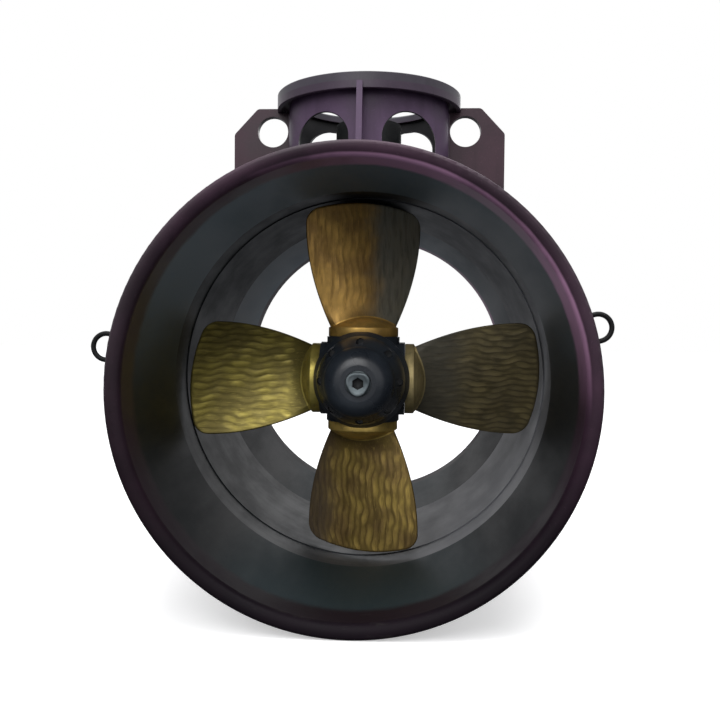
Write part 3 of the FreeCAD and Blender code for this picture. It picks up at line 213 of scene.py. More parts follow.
def hull_material(name, split, soft=0.0015, back=None, wrap=True):
    """Purple-charcoal paint outside radius split, glossy slate coating inside it."""
    w = Mat(name, ior=1.5)
    w.b.inputs["Specular IOR Level"].default_value = 0.30
    x, y, z = w.split(w.co)
    rad = w.math("SQRT", w.math("ADD", w.math("MULTIPLY", x, x), w.math("MULTIPLY", z, z)))
    wob = w.noise(14.0, 3, 0.5)
    edge = w.math("ADD", rad, w.math("MULTIPLY", w.math("SUBTRACT", wob, 0.5), 0.003))
    outside = w.step(edge, split - soft, split + soft)
    if wrap:
        # the rim colour runs a little way into the mouth, with a ragged sprayed edge
        rag = w.math("MULTIPLY", w.math("SUBTRACT", w.noise(30.0, 5, 0.65), 0.5), 0.030)
        lip = w.step(w.math("ADD", w.math("ABSOLUTE", w.math("SUBTRACT", y, 0.0525)), rag), 0.722, 0.758)
        outside = w.math("MAXIMUM", outside, lip)
    purple, cloud = sprayed(w, PURPLE_D, PURPLE_L)
    # scuffs low on the outer skin, where it has stood on a floor
    scuff = w.noise(38.0, 5, 0.7, stretch=(0.25, 1, 1))
    scuff = w.math("MULTIPLY", w.step(scuff, 0.6, 0.68), w.step(z, -0.40, -0.53))
    purple = w.mix(w.math("MULTIPLY", scuff, 0.6), purple, lin(120, 112, 108))
    # painted shade: the outer paint darkens towards the bottom, where less light falls
    low = w.step(w.math("ADD", z, w.math("MULTIPLY", w.math("SUBTRACT", wob, 0.5), 0.2)), 0.25, -0.42, 0.0, 0.9)
    purple = w.mix(low, purple, lin(13, 11, 15))
    # painted shade: the outer paint darkens on the left side, away from the light
    purple = w.mix(w.step(x, -0.28, -0.50, 0.0, 0.45), purple, lin(22, 15, 18))
    if wrap:
        # painted light: the paint in the lip is lighter high on the right of the mouth, where the light falls
        high = w.step(w.math("ADD", w.math("MULTIPLY", x, 0.55), w.math("MULTIPLY", z, 0.83)), 0.22, 0.48)
        painted_light_high_right = w.math("MULTIPLY", w.math("MULTIPLY", high, w.step(edge, split + 0.004, split - 0.001)), w.step(cloud, 0.1, 0.7, 0.55, 1.0))
        purple = w.mix(painted_light_high_right, purple, lin(178, 134, 166))
    # inside: wet-looking coat with tide marks along the flow, then painted light and shade by height and side
    flow = w.noise(7.0, 6, 0.62, stretch=(1.0, 0.22, 1.0))
    slate = w.mix(w.step(flow, 0.3, 0.75), SLATE_D, SLATE_L)
    drift = w.noise(60.0, 3, 0.6, stretch=(1.0, 0.08, 1.0))
    slate = w.mix(w.step(drift, 0.60, 0.78, 0.0, 0.4), slate, lin(50, 57, 60))
    # painted light: the coating is lighter towards the top of the bore
    over = w.step(w.math("ADD", z, w.math("MULTIPLY", w.math("SUBTRACT", flow, 0.5), 0.35)), -0.10, 0.42, 0.0, 0.9)
    slate = w.mix(over, slate, lin(98, 114, 124))
    # painted light: the coating is lighter on the right side of the bore
    rside = w.step(x, 0.10, 0.45, 0.0, 0.5)
    slate = w.mix(rside, slate, lin(58, 60, 62))
    # painted shade: the coating is darker low down on both sides of the bore
    lower = w.step(w.math("SUBTRACT", z, w.math("MULTIPLY", w.math("ABSOLUTE", x), 0.4)), 0.02, -0.30, 0.0, 0.62)
    slate = w.mix(lower, slate, lin(4, 6, 8))
    # painted reflection: the coating is lighter again along the bottom of the bore
    slate = w.mix(w.step(z, -0.36, -0.46, 0.0, 0.6), slate, lin(42, 54, 58))
    if back is not None:
        behind = w.step(y, back - 0.004, back + 0.004)
        slate = w.mix(w.math("MULTIPLY", behind, 0.75), slate, lin(62, 64, 65))
    col = w.mix(outside, slate, purple)
    r_out = w.step(cloud, 0.0, 1.0, 0.42, 0.56)
    r_in = w.step(flow, 0.3, 0.8, 0.46, 0.62)
    # the wet look fades where grease and dust lie low in the pipe
    w.put(w.b.inputs["Specular IOR Level"], w.step(w.math("SUBTRACT", z, w.math("MULTIPLY", w.math("ABSOLUTE", x), 0.4)), -0.42, -0.02, 0.07, 0.30))
    n = w.node("ShaderNodeMix", data_type="FLOAT")
    w.put(n.inputs[0], outside)
    w.put(n.inputs[2], r_in)
    w.put(n.inputs[3], r_out)
    return w.out(col, n.outputs[0], orange_peel(w))


def painted(name, dark, light, r0=0.4, r1=0.55, seed=0.0, peel=230.0, strength=0.22, gloss=0.5):
    w = Mat(name)
    w.b.inputs["Specular IOR Level"].default_value = gloss
    col, cloud = sprayed(w, dark, light, seed)
    return w.out(col, w.step(cloud, 0.0, 1.0, r0, r1), orange_peel(w, peel, strength))


def cast_paint(name, dark, light, r0=0.42, r1=0.6):
    """Paint over a sand casting: grainy skin, with painted shade darkening the pits."""
    w = Mat(name)
    col, cloud = sprayed(w, dark, light, 3.0)
    grain = w.noise(120.0, 5, 0.6)
    pit = w.voronoi(95.0)
    # painted shade in the pits of the casting skin
    col = w.mix(w.step(pit, 0.18, 0.02, 0.0, 0.5), col, tuple(0.5 * c for c in dark[:3]) + (1.0,))
    n = w.bump(grain, 0.45, 0.0012)
    n = w.bump(w.step(pit, 0.0, 0.3), 0.25, 0.0008, n)
    return w.out(col, w.step(grain, 0.3, 0.7, r0, r1), n)


def turned_metal(name, dark, light, rough=(0.22, 0.36), axis=(0, 1, 0), centre=(0, 0, 0), pitch=0.0016, metal=1.0, stain=0.25):
    """Machined metal with tool rings about an axis and oil staining."""
    w = Mat(name, metal=metal)
    v = w.vmath("SUBTRACT", w.co, centre)
    flat = w.vmath("MULTIPLY", v, tuple(1.0 - abs(a) for a in axis))
    rad = w.vmath("LENGTH", flat)
    along = w.vmath("DOT_PRODUCT", v, axis)
    t = w.math("MULTIPLY", w.math("ADD", rad, along), 2 * math.pi / pitch)
    rings = w.math("SINE", w.math("ADD", t, w.math("MULTIPLY", w.noise(40.0, 2), 2.0)))
    cloud = w.noise(24.0, 5, 0.62)
    col = w.mix(w.step(cloud, 0.3, 0.72), dark, light)
    spots = w.noise(70.0, 4, 0.65)
    col = w.mix(w.step(spots, 0.56, 0.72, 0.0, stain), col, lin(70, 58, 46))
    n = w.bump(rings, 0.12, 0.0002)
    return w.out(col, w.step(cloud, 0.25, 0.75, rough[0], rough[1]), n)


def bronze(name, seed, gold, brown, dark, side, cut, spread, inner=(0.0, 0.0), shine=(0.34, 0.52), marks=0.8):
    """Cast and hand-ground propeller bronze in the blade's own frame: x along the chord, z outwards.
    side and cut place the dark sheet of painted shade across the chord, spread is how soft its edge is."""
    w = Mat(name)
    x, y, z = w.split(w.co)
    grind = w.node("ShaderNodeAttribute", attribute_name="grind").outputs["Fac"]
    # hollows left by the grinding wheel, as in the geometry
    streak = w.noise(1.0, 3, 0.6, stretch=(105.0, 105.0, 15.0), shift=(seed, seed * 0.7, 0), warp=0.35)
    thin = w.noise(1.0, 4, 0.65, stretch=(330.0, 330.0, 26.0), shift=(0, 0, seed))
    blotch = w.noise(11.0, 5, 0.6, shift=(seed, 0, seed))
    col = w.mix(w.step(blotch, 0.34, 0.66), brown, gold)
    # painted shade on the ridges between the ground hollows and a painted highlight along their middles
    ridge_shade = w.step(w.math("ADD", grind, w.math("MULTIPLY", w.math("SUBTRACT", streak, 0.5), 0.5)), 0.42, 0.10)
    col = w.mix(w.math("MULTIPLY", ridge_shade, marks), col, tuple(0.30 * c for c in brown[:3]) + (1.0,))
    col = w.mix(w.step(grind, 0.55, 1.0, 0.0, 0.45), col, tuple(min(1.0, 1.18 * c) for c in gold[:3]) + (1.0,))
    col = w.mix(w.step(streak, 0.50, 0.70, 0.0, 0.45), col, tuple(0.50 * c for c in brown[:3]) + (1.0,))
    col = w.mix(w.step(thin, 0.56, 0.72, 0.0, 0.5), col, tuple(min(1.0, 1.35 * c + 0.015) for c in gold[:3]) + (1.0,))
    # painted shade: a soft-edged dark sheet over one side of the blade, thicker near the root
    wob = w.math("MULTIPLY", w.math("SUBTRACT", w.noise(9.0, 4, 0.6, shift=(0, seed, 0)), 0.5), 0.09)
    across = w.math("ADD", w.math("MULTIPLY", x, side), wob)
    shade_sheet = w.step(across, cut - spread, cut + spread)
    if inner[1] > 0:
        near = w.step(w.math("ADD", z, w.math("MULTIPLY", wob, 0.7)), inner[0] + inner[1], inner[0] - inner[1])
        shade_sheet = w.math("MAXIMUM", shade_sheet, near)
    shade_sheet_colour = w.mix(w.step(streak, 0.4, 0.7), dark, tuple(0.6 * c for c in dark[:3]) + (1.0,))
    col = w.mix(w.math("MULTIPLY", shade_sheet, 0.9), col, shade_sheet_colour)
    # machined palm: brighter, turned about the blade axis
    dist = w.vmath("LENGTH", w.co)
    lap = w.math("SQRT", w.math("ADD", w.math("MULTIPLY", x, x), w.math("MULTIPLY", y, y)))
    palm = w.step(dist, 0.1765, 0.1735)
    rings = w.math("SINE", w.math("MULTIPLY", lap, 2 * math.pi / 0.0021))
    pcol = w.mix(w.step(blotch, 0.3, 0.7), tuple(0.80 * c for c in gold[:3]) + (1.0,), tuple(min(1.0, 1.5 * c + 0.02) for c in gold[:3]) + (1.0,))
    pcol = w.mix(w.step(w.noise(48.0, 4), 0.55, 0.7, 0.0, 0.45), pcol, brown)
    col = w.mix(palm, col, pcol)
    rough = w.step(streak, 0.3, 0.7, shine[0], shine[1])
    rough = w.math("ADD", rough, w.math("MULTIPLY", shade_sheet, 0.16))
    n = w.bump(w.noise(420.0, 3, 0.6), 0.16, 0.0004)
    n = w.bump(thin, 0.22, 0.0008, n)
    n = w.bump(w.math("MULTIPLY", rings, palm), 0.10, 0.0003, n)
    metal = w.step(shade_sheet, 0.0, 1.0, 0.68, 0.10, smooth=False)
    metal = w.math("MAXIMUM", metal, w.math("MULTIPLY", palm, 0.68))
    return w.out(col, rough, n, metal)


def rubber(name):
    w = Mat(name)
    g = w.noise(260.0, 3, 0.6)
    d = w.noise(30.0, 4, 0.6)
    col = w.mix(w.step(d, 0.35, 0.7), lin(20, 20, 21), lin(40, 40, 42))
    return w.out(col, w.step(g, 0.3, 0.7, 0.62, 0.8), w.bump(g, 0.25, 0.0005))


def zinc(name):
    """Sacrificial anode: chalky, pitted, white bloom."""
    w = Mat(name, metal=0.35)
    a = w.noise(46.0, 6, 0.68)
    p = w.voronoi(130.0)
    col = w.ramp(a, [(0.3, lin(112, 114, 118)), (0.52, lin(150, 152, 155)), (0.7, lin(196, 197, 196))])
    n = w.bump(a, 0.5, 0.002)
    n = w.bump(w.step(p, 0.0, 0.35), 0.4, 0.001, n)
    return w.out(col, w.step(a, 0.3, 0.7, 0.5, 0.8), n)


def liner_material(name):
    """Stainless propeller liner behind slate coating: greyer, with turning marks round the bore."""
    w = Mat(name, ior=1.5)
    x, y, z = w.split(w.co)
    rad = w.math("SQRT", w.math("ADD", w.math("MULTIPLY", x, x), w.math("MULTIPLY", z, z)))
    outside = w.step(rad, 0.5125, 0.5155)
    purple, cloud = sprayed(w, PURPLE_D, PURPLE_L)
    turning = w.noise(1.0, 4, 0.6, stretch=(4.0, 420.0, 4.0))
    band = w.noise(1.0, 3, 0.5, stretch=(2.0, 22.0, 2.0))
    wall = w.mix(w.step(band, 0.3, 0.7), lin(34, 37, 40), lin(60, 62, 65))
    wall = w.mix(w.step(turning, 0.5, 0.75, 0.0, 0.35), wall, lin(80, 81, 83))
    stain = w.noise(9.0, 5, 0.62, stretch=(1, 0.5, 1))
    wall = w.mix(w.step(stain, 0.5, 0.75, 0.0, 0.6), wall, lin(27, 31, 33))
    # painted shade: the liner wall is darker towards the left and the top
    wall = w.mix(w.step(w.math("SUBTRACT", x, w.math("MULTIPLY", z, 0.5)), -0.35, 0.15, 0.52, 0.0, smooth=False), wall, lin(5, 7, 9))
    # painted light: the liner wall is lighter on the right side
    wall = w.mix(w.step(x, 0.0, 0.34, 0.0, 0.6), wall, lin(128, 129, 134))
    w.b.inputs["Specular IOR Level"].default_value = 0.16
    col = w.mix(outside, wall, purple)
    rough = w.math("ADD", w.step(stain, 0.3, 0.7, 0.44, 0.58), w.math("MULTIPLY", outside, 0.15))
    n = w.bump(turning, 0.14, 0.0004)
    n2 = w.bump(w.noise(230.0, 2, 0.5), 0.18, 0.0006, n)
    return w.out(col, rough, n2)


M = {}
M["rim"] = hull_material("rim_paint", 0.5055, 0.0012)
M["shell"] = hull_material("shell_paint", 0.5075)
M["liner"] = liner_material("liner_wall")
M["hull"] = painted("hull_paint", PURPLE_D, PURPLE_L)
M["ear"] = painted("ear_paint", lin(40, 25, 33), lin(62, 40, 50), seed=5.0, gloss=0.28)
def drum_material(name):
    """Purple paint outside; inside the drum a dark primer tone taken down to near black as painted shade."""
    w = Mat(name)
    w.b.inputs["Specular IOR Level"].default_value = 0.30
    x, y, z = w.split(w.co)
    rad = w.math("SQRT", w.math("ADD", w.math("MULTIPLY", x, x), w.math("MULTIPLY", y, y)))
    wob = w.math("MULTIPLY", w.math("SUBTRACT", w.noise(25.0, 4, 0.6), 0.5), 0.004)
    outer = w.step(w.math("ADD", rad, wob), 0.2355, 0.2375)
    purple, cloud = sprayed(w, lin(50, 36, 54), lin(82, 62, 88), 9.0)
    # painted shade: the drum's inside is near black because it lies in shadow
    primer_and_shade = w.mix(w.step(w.noise(14.0, 5, 0.6), 0.3, 0.7), lin(6, 6, 8), lin(20, 19, 23))
    return w.out(w.mix(outer, primer_and_shade, purple), w.step(cloud, 0.0, 1.0, 0.42, 0.58), orange_peel(w))


M["drum"] = drum_material("pedestal_paint")
# painted shade: the machinery inside the pedestal gets near-black paint because it lies in the drum's shadow
M["inside"] = cast_paint("machine_paint_painted_shade", lin(8, 10, 11), lin(24, 27, 29), 0.5, 0.7)
def flange_material(name):
    """Grey primed flange plate over a skirt in the pedestal's paint, its top face machined in rings."""
    w = Mat(name)
    x, y, z = w.split(w.co)
    rad = w.math("SQRT", w.math("ADD", w.math("MULTIPLY", x, x), w.math("MULTIPLY", y, y)))
    wob = w.math("MULTIPLY", w.math("SUBTRACT", w.noise(25.0, 4, 0.6), 0.5), 0.006)
    low = w.step(w.math("ADD", z, wob), 0.8115, 0.8095)
    top = w.step(z, 0.8322, 0.8328)
    recess = w.math("MULTIPLY", w.step(rad, 0.2262, 0.2252), w.step(z, 0.8262, 0.8268))
    top = w.math("MAXIMUM", top, recess)
    w.b.inputs["Specular IOR Level"].default_value = 0.32
    grey, cloud = sprayed(w, lin(40, 37, 44), lin(64, 59, 69), 2.0)
    purple, c2 = sprayed(w, lin(38, 29, 41), lin(62, 48, 64), 9.0)
    col = w.mix(low, grey, purple)
    face = w.mix(w.step(w.noise(22.0, 5, 0.6), 0.3, 0.7), lin(96, 97, 99), lin(138, 139, 141))
    col = w.mix(top, col, face)
    rings = w.math("MULTIPLY", w.math("SINE", w.math("MULTIPLY", rad, 2 * math.pi / 0.0014)), top)
    n = w.bump(rings, 0.12, 0.0002, orange_peel(w, 320.0, 0.16))
    return w.out(col, w.step(cloud, 0.0, 1.0, 0.36, 0.52), n, w.math("MULTIPLY", top, 0.8))


M["flange"] = flange_material("flange_paint")
M["leg"] = cast_paint("leg_casting", lin(26, 31, 34), lin(46, 52, 55))
M["machine"] = painted("machine_paint", lin(34, 40, 44), lin(58, 64, 68), seed=12.0)
M["hub"] = painted("hub_casting", lin(30, 34, 40), lin(54, 60, 67), 0.26, 0.4, seed=7.0, peel=260.0, strength=0.16)
M["rod"] = painted("black_rod", lin(5, 5, 6), lin(13, 13, 14), 0.5, 0.66, seed=1.0, peel=700.0, gloss=0.22)
M["bright"] = turned_metal("bright_steel", lin(120, 122, 124), lin(176, 178, 180))
M["bolt"] = turned_metal("bolt_steel", lin(96, 97, 98), lin(150, 150, 148), (0.3, 0.45), pitch=0.0011, stain=0.5)
M["plug"] = turned_metal("nose_plug_steel", lin(86, 94, 97), lin(132, 141, 144), (0.46, 0.62), pitch=0.0018, stain=0.25)
# painted shade: a near-black material for the hexagon socket of the nose plug
M["grime"] = cast_paint("socket_grime", lin(9, 10, 11), lin(22, 23, 24), 0.7, 0.9)
M["hard"] = turned_metal("ground_steel", lin(128, 130, 134), lin(190, 192, 196), (0.14, 0.26), pitch=0.0007, stain=0.12)
M["shaft_z"] = turned_metal("input_steel", lin(118, 120, 124), lin(182, 184, 188), (0.2, 0.32), axis=(0, 0, 1), pitch=0.0012, stain=0.2)
M["rubber"] = rubber("seal_rubber")
M["zinc"] = zinc("anode_alloy")
M["weld"] = painted("weld_paint", lin(44, 33, 41), lin(80, 60, 74), 0.36, 0.5, seed=4.0, peel=500.0, strength=0.3)

# tones by blade: 1 top, 2 right, 3 bottom, 4 left; the tones differ from blade to blade as painted light and shade
M["blade_1"] = bronze("bronze_1", 3.1, lin(216, 172, 92), lin(176, 138, 80), lin(118, 120, 110), 1.0, 0.020, 0.034, marks=0.22)
M["blade_2"] = bronze("bronze_2", 7.7, lin(170, 154, 108), lin(142, 130, 98), lin(80, 77, 66), 1.0, 0.60, 0.05, inner=(0.27, 0.05), marks=0.6)
M["blade_3"] = bronze("bronze_3", 11.9, lin(206, 176, 94), lin(158, 130, 80), lin(76, 64, 52), 1.0, 0.085, 0.05, marks=0.6)
M["blade_4"] = bronze("bronze_4", 17.3, lin(184, 168, 84), lin(150, 136, 76), lin(100, 92, 66), -1.0, 0.60, 0.05, marks=0.55)

BY_NODE = {
    "front_bell_rim": "rim", "rear_bell_rim": "rim", "front_tunnel_shell": "shell", "rear_tunnel_shell": "shell",
    "propeller_liner": "liner", "leg_seat_collar": "hull", "pedestal_drum": "drum", "motor_flange": "flange",
    "pedestal_gussets": "drum", "left_lifting_ear": "ear", "right_lifting_ear": "ear", "left_lashing_loop": "rod",
    "right_lashing_loop": "rod", "gear_leg": "leg", "leg_gasket": "rubber", "input_bearing_housing": "inside",
    "leg_fasteners": "bolt", "pod_tail_cover": "leg", "tail_cover_screws": "bolt", "shaft_seal_housing": "bright",
    "shaft_lip_seals": "rubber", "rope_guard": "bright", "front_bearing_race": "hard", "rear_bearing_race": "hard",
    "pinion_bearing_race": "hard", "input_bearing_race": "hard", "input_shaft_seal": "rubber", "input_seal_cover": "inside",
    "oil_pipes": "rod", "leg_anodes": "zinc", "drain_plug": "bolt", "propeller_shaft": "bright", "shaft_nut": "bolt",
    "crown_wheel": "hard", "propeller_shaft_rollers": "hard", "hub_body": "hub", "hub_screws": "hub",
    "servo_cylinder_head": "hub", "hub_nose": "hub", "nose_plug": "plug", "crosshead": "bright", "servo_piston": "bright",
    "piston_seal": "rubber", "input_shaft": "shaft_z", "bevel_pinion": "hard", "input_shaft_rollers": "hard",
    "drive_coupling": "shaft_z",
}
for k in range(1, 5):
    BY_NODE["blade_%d" % k] = "blade_%d" % k
    BY_NODE["crank_ring_%d" % k] = "bright"
    BY_NODE["blade_%d_screws" % k] = "bolt"
for name, obj in nodes.items():
    obj.data.materials.clear()
    obj.data.materials.append(M[BY_NODE[name]])


# ------------------------------------------------------------------ mesh helpers
def make(name, verts, faces, material, smooth=True, matrix=None):
    mesh = bpy.data.meshes.new(name)
    mesh.from_pydata(verts, [], faces)
    mesh.update()
    bm = bmesh.new()
    bm.from_mesh(mesh)
    bmesh.ops.recalc_face_normals(bm, faces=bm.faces)
    bm.to_mesh(mesh)
    bm.free()
    if smooth:
        mesh.polygons.foreach_set("use_smooth", [True] * len(mesh.polygons))
    mesh.materials.append(material)
    o = bpy.data.objects.new(name, mesh)
    scene.collection.objects.link(o)
    if matrix is not None:
        o.matrix_world = matrix
    return o


def bead(name, points, away, radius, closed, material, body="tunnel", scale_len=0.0062):
    """A weld bead along points, laid in fish-scale ripples. away gives each point's direction out of the corner."""
    rings, n = [], len(points)
    run = 0.0
    for i, p in enumerate(points):
        a = points[i - 1] if (closed or i > 0) else p
        b = points[(i + 1) % n] if (closed or i < n - 1) else p
        t = (b - a).normalized()
        if i > 0:
            run += (p - points[i - 1]).length
        out = away[i] - t * away[i].dot(t)
        out.normalize()
        side = t.cross(out)
        ph = (run / scale_len) % 1.0
        wave = 1.0 + 0.16 * (1.0 - ph) ** 2 + 0.07 * math.sin(run * 61.0) + 0.04 * math.sin(run * 233.0)
        ring = []
        for j in range(8):
            ang = 2 * math.pi * j / 8
            ring.append(p + (out * math.cos(ang) * 0.75 + side * math.sin(ang)) * radius * wave)
        rings.append(ring)
    verts = [v for r in rings for v in r]
    faces = []
    for i in range(n if closed else n - 1):
        for j in range(8):
            faces.append((i * 8 + j, i * 8 + (j + 1) % 8, ((i + 1) % n) * 8 + (j + 1) % 8, ((i + 1) % n) * 8 + j))
    if not closed:
        faces.append(tuple(range(8)))
        faces.append(tuple((n - 1) * 8 + j for j in range(8)))
    o = make(name, verts, faces, material)
    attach(o, body)
    return o


def ring_points(radius, y, count):
    pts, out = [], []
    for i in range(count):
        a = 2 * math.pi * i / count
        pts.append(Vector((radius * math.sin(a), y, radius * math.cos(a))))
        out.append(Vector((math.sin(a), 0, math.cos(a))))
    return pts, out


# ------------------------------------------------------------------ blades
ROOT_Z, TIP_R, RC, WIDE = 0.150, 0.487, 0.050, 0.169
ROOT_T, TIP_T, EDGE = 0.038, 0.013, 0.0026
CX = WIDE - RC
CZ = math.sqrt((TIP_R - RC) ** 2 - CX ** 2)


def half_width(z):
    """Half the chord: full over the outer half, drawn in towards the palm."""
    return WIDE - 0.069 * max(0.0, (CZ - z) / (CZ - ROOT_Z)) ** 1.9


def depth_in(x, z):
    """Distance from the blade's outline, inwards."""
    ax = abs(x)
    d = min((half_width(z) - ax) * 0.96, TIP_R - math.hypot(x, z))
    # beyond both tangent points, the corner circle rules
    if z > CZ and ax * CZ - z * CX > 0:
        d = min(d, RC - math.hypot(ax - CX, z - CZ))
    return d


def top_of(s):
    lo, hi = ROOT_Z, TIP_R
    for _ in range(40):
        mid = (lo + hi) / 2
        if depth_in(s * half_width(mid), mid) > 0:
            lo = mid
        else:
            hi = mid
    return lo


def half_thick(s, z):
    if z < 0.300:
        f = (z - 0.150) / 0.150
        t = ROOT_T + (TIP_T + (ROOT_T - TIP_T) * 0.45 - ROOT_T) * f
    else:
        f = (z - 0.300) / 0.220
        t = TIP_T + (ROOT_T - TIP_T) * 0.45 * (1 - f)
    return EDGE + (t / 2 - EDGE) * (1 - s * s)


def hollow(x, z, seed, face):
    """Depth of the grinding hollows: long shallow strokes side by side, 17 to 20 mm apart, each starting at its own height."""
    spacing = 0.0185 + 0.0014 * math.sin(seed * 1.7)
    bend = 0.0046 * math.sin(z * 41.0 + x * 9.0 + seed) + 0.0022 * math.sin(z * 97.0 + x * 24.0 + seed * 2)
    u = (x + bend) / spacing + 0.13 * math.sin(seed * 3 + face)
    cell = math.floor(u)
    f = u - cell
    length = 0.072 + 0.022 * math.sin(cell * 7.7 + seed)
    v = (z + 0.042 * math.sin(cell * 12.9898 + seed * 4.1 + face)) / length
    row = math.floor(v)
    wave = 0.5 - 0.5 * math.cos(2 * math.pi * (v - row))
    own = 0.62 + 0.38 * math.sin(cell * 12.9898 + row * 78.233 + seed * 3.7) * wave
    lens = (1 - (2 * f - 1) ** 2) ** 0.9
    return own * lens * (0.42 + 0.58 * wave)


DEPTH = {1: 0.0006, 2: 0.0010, 3: 0.00125, 4: 0.00125}


def blade_mesh(k, seed):
    cols, rows = 150, 92
    svals = []
    for i in range(cols + 1):
        a = -1 + 2 * i / cols
        svals.append(math.copysign(1 - (1 - abs(a)) ** 1.12, a) if a else 0.0)
    verts, faces, grind = [], [], []
    index = {}
    z0 = 0.143
    for face in (-1, 1):
        for i, s in enumerate(svals):
            top = top_of(s)
            for j in range(rows + 1):
                t = j / rows
                t = 1 - (1 - t) ** 1.06
                z = z0 + (top - z0) * t
                x = s * half_width(z)
                d = max(0.0, depth_in(x, z)) if z > 0.16 else min(max(0.0, (half_width(z) - abs(x))), 0.05)
                ht = half_thick(s, max(z, 0.150))
                # rounded rim of the blade
                er = min(0.0042, ht)
                if d < er:
                    ht -= er * (1 - math.sqrt(max(0.0, 1 - (1 - d / er) ** 2)))
                    ht = max(ht, 0.0004)
                # root fillet onto the palm
                if z < 0.205:
                    q = (0.205 - z) / 0.045
                    ht += 0.011 * max(0.0, q) ** 2.2 * (1 - 0.55 * s * s) * min(1.0, d / 0.012)
                fade = min(1.0, max(0.0, (z - 0.190) / 0.02)) * min(1.0, d / 0.012)
                cut = hollow(x, z, seed, face) * fade
                verts.append((x, face * max(0.0003, ht - DEPTH[k] * cut), z))
                grind.append(cut)
                index[face, i, j] = len(verts) - 1
    for face in (-1, 1):
        for i in range(cols):
            for j in range(rows):
                faces.append((index[face, i, j], index[face, i + 1, j], index[face, i + 1, j + 1], index[face, i, j + 1]))
    for i in range(cols):
        for j in (0, rows):
            faces.append((index[-1, i, j], index[-1, i + 1, j], index[1, i + 1, j], index[1, i, j]))
    for j in range(rows):
        for i in (0, cols):
            faces.append((index[-1, i, j], index[-1, i, j + 1], index[1, i, j + 1], index[1, i, j]))
    # palm: a turned disc with a rounded shoulder, its face part of a sphere about the hub centre
    seg = 128
    prof = [(0.0640, 0.0921), (0.0640, 0.1162), (0.0960, 0.1163), (0.0970, 0.1173)]
    for q in range(0, 7):
        a = math.radians(q * 15)
        prof.append((0.0930 + 0.0040 * math.cos(a), 0.1385 + 0.0040 * math.sin(a)))
    sphere = 0.1720
    for q in range(1, 22):
        r = 0.0915 * (1 - q / 22.0)
        prof.append((r, math.sqrt(sphere ** 2 - r ** 2)))
    base = len(verts)
    for r, z in prof:
        for j in range(seg):
            a = 2 * math.pi * j / seg
            verts.append((r * math.cos(a), r * math.sin(a), z))
    for i in range(len(prof) - 1):
        for j in range(seg):
            faces.append((base + i * seg + j, base + i * seg + (j + 1) % seg, base + (i + 1) * seg + (j + 1) % seg, base + (i + 1) * seg + j))
    verts.append((0, 0, sphere))
    apex = len(verts) - 1
    last = base + (len(prof) - 1) * seg
    for j in range(seg):
        faces.append((last + j, last + (j + 1) % seg, apex))
    verts.append((0, 0, 0.0921))
    low = len(verts) - 1
    for j in range(seg):
        faces.append((base + (j + 1) % seg, base + j, low))
    place = Matrix.Translation((0, -0.215, 0)) @ Matrix.Rotation(math.radians(90.0 * (k - 1)), 4, "Y") @ Matrix.Rotation(math.radians(22.0), 4, "Z")
    o = make("bronze_blade_%d" % k, verts, faces, M["blade_%d" % k], matrix=place)
    field = o.data.attributes.new("grind", "FLOAT", "POINT")
    field.data.foreach_set("value", grind + [0.8] * (len(verts) - len(grind)))
    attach(o, "blade_%d" % k)
    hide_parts("blade_%d" % k)
    return o


for k, seed in ((1, 0.6), (2, 2.9), (3, 5.3), (4, 8.1)):
    blade_mesh(k, seed)

# ------------------------------------------------------------------ nose plug
def nose_plug_mesh():
    """Turned plug: a round threaded stem and a head with three soft corners, a dished face and a hexagon socket."""
    lo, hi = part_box("nose_plug")
    front = lo.y
    seg = 144

    def trilobe(a, r):
        return r * (1.0 + 0.085 * math.cos(3 * (a + math.radians(90))))

    def hexagon(a, flat):
        b = (a + math.radians(30)) % math.radians(60) - math.radians(30)
        return flat / math.cos(b)

    rows = [(0.0318, 0.0240, 2), (0.0327, 0.0231, 2), (0.0327, 0.0129, 2), (0.0318, 0.0120, 2),
            (0.0278, 0.0120, 0), (0.0292, 0.0108, 0), (0.0298, 0.0090, 0), (0.0300, 0.0030, 0), (0.0294, 0.0012, 0), (0.0278, 0.0003, 0), (0.0256, 0.0, 0), (0.0232, 0.0004, 0),
            (0.0205, 0.0014, 0), (0.0178, 0.0021, 0), (0.0140, 0.0026, 1), (0.0131, 0.0031, 1), (0.0128, 0.0041, 1), (0.0128, 0.0100, 1)]
    verts, faces = [], []
    for r, back, kind in rows:
        for j in range(seg):
            a = 2 * math.pi * j / seg
            rr = trilobe(a, r) if kind == 0 else hexagon(a, r) if kind == 1 else r
            verts.append((rr * math.cos(a), front + back, rr * math.sin(a)))
    dark = set()
    for i in range(len(rows) - 1):
        for j in range(seg):
            if i >= len(rows) - 3:
                dark.add(len(faces))
            faces.append((i * seg + j, i * seg + (j + 1) % seg, (i + 1) * seg + (j + 1) % seg, (i + 1) * seg + j))
    for row, back in ((0, 0.0240), (len(rows) - 1, 0.0108)):
        verts.append((0, front + back, 0))
        for j in range(seg):
            if row:
                dark.add(len(faces))
            faces.append((row * seg + j, row * seg + (j + 1) % seg, len(verts) - 1))
    o = make("nose_cap", verts, faces, M["plug"])
    # a near-black second material on the socket walls and floor: painted shade in the recess
    o.data.materials.append(M["grime"])
    if len(o.data.polygons) == len(faces):
        for i in dark:
            o.data.polygons[i].material_index = 1
    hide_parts("nose_plug")
    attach(o, "propeller")
    return o


nose_plug_mesh()

# ------------------------------------------------------------------ weld seams
for name, y, r, side in (("seam_front_rim", -0.7300, 0.5185, 1), ("seam_rear_rim", 0.8350, 0.5185, 1),
                         ("seam_liner_front", -0.3318, 0.5170, 1), ("seam_liner_rear", 0.3018, 0.5170, 1)):
    pts, out = ring_points(r, y, 900)
    bead(name, pts, out, 0.0038, True, M["weld"])

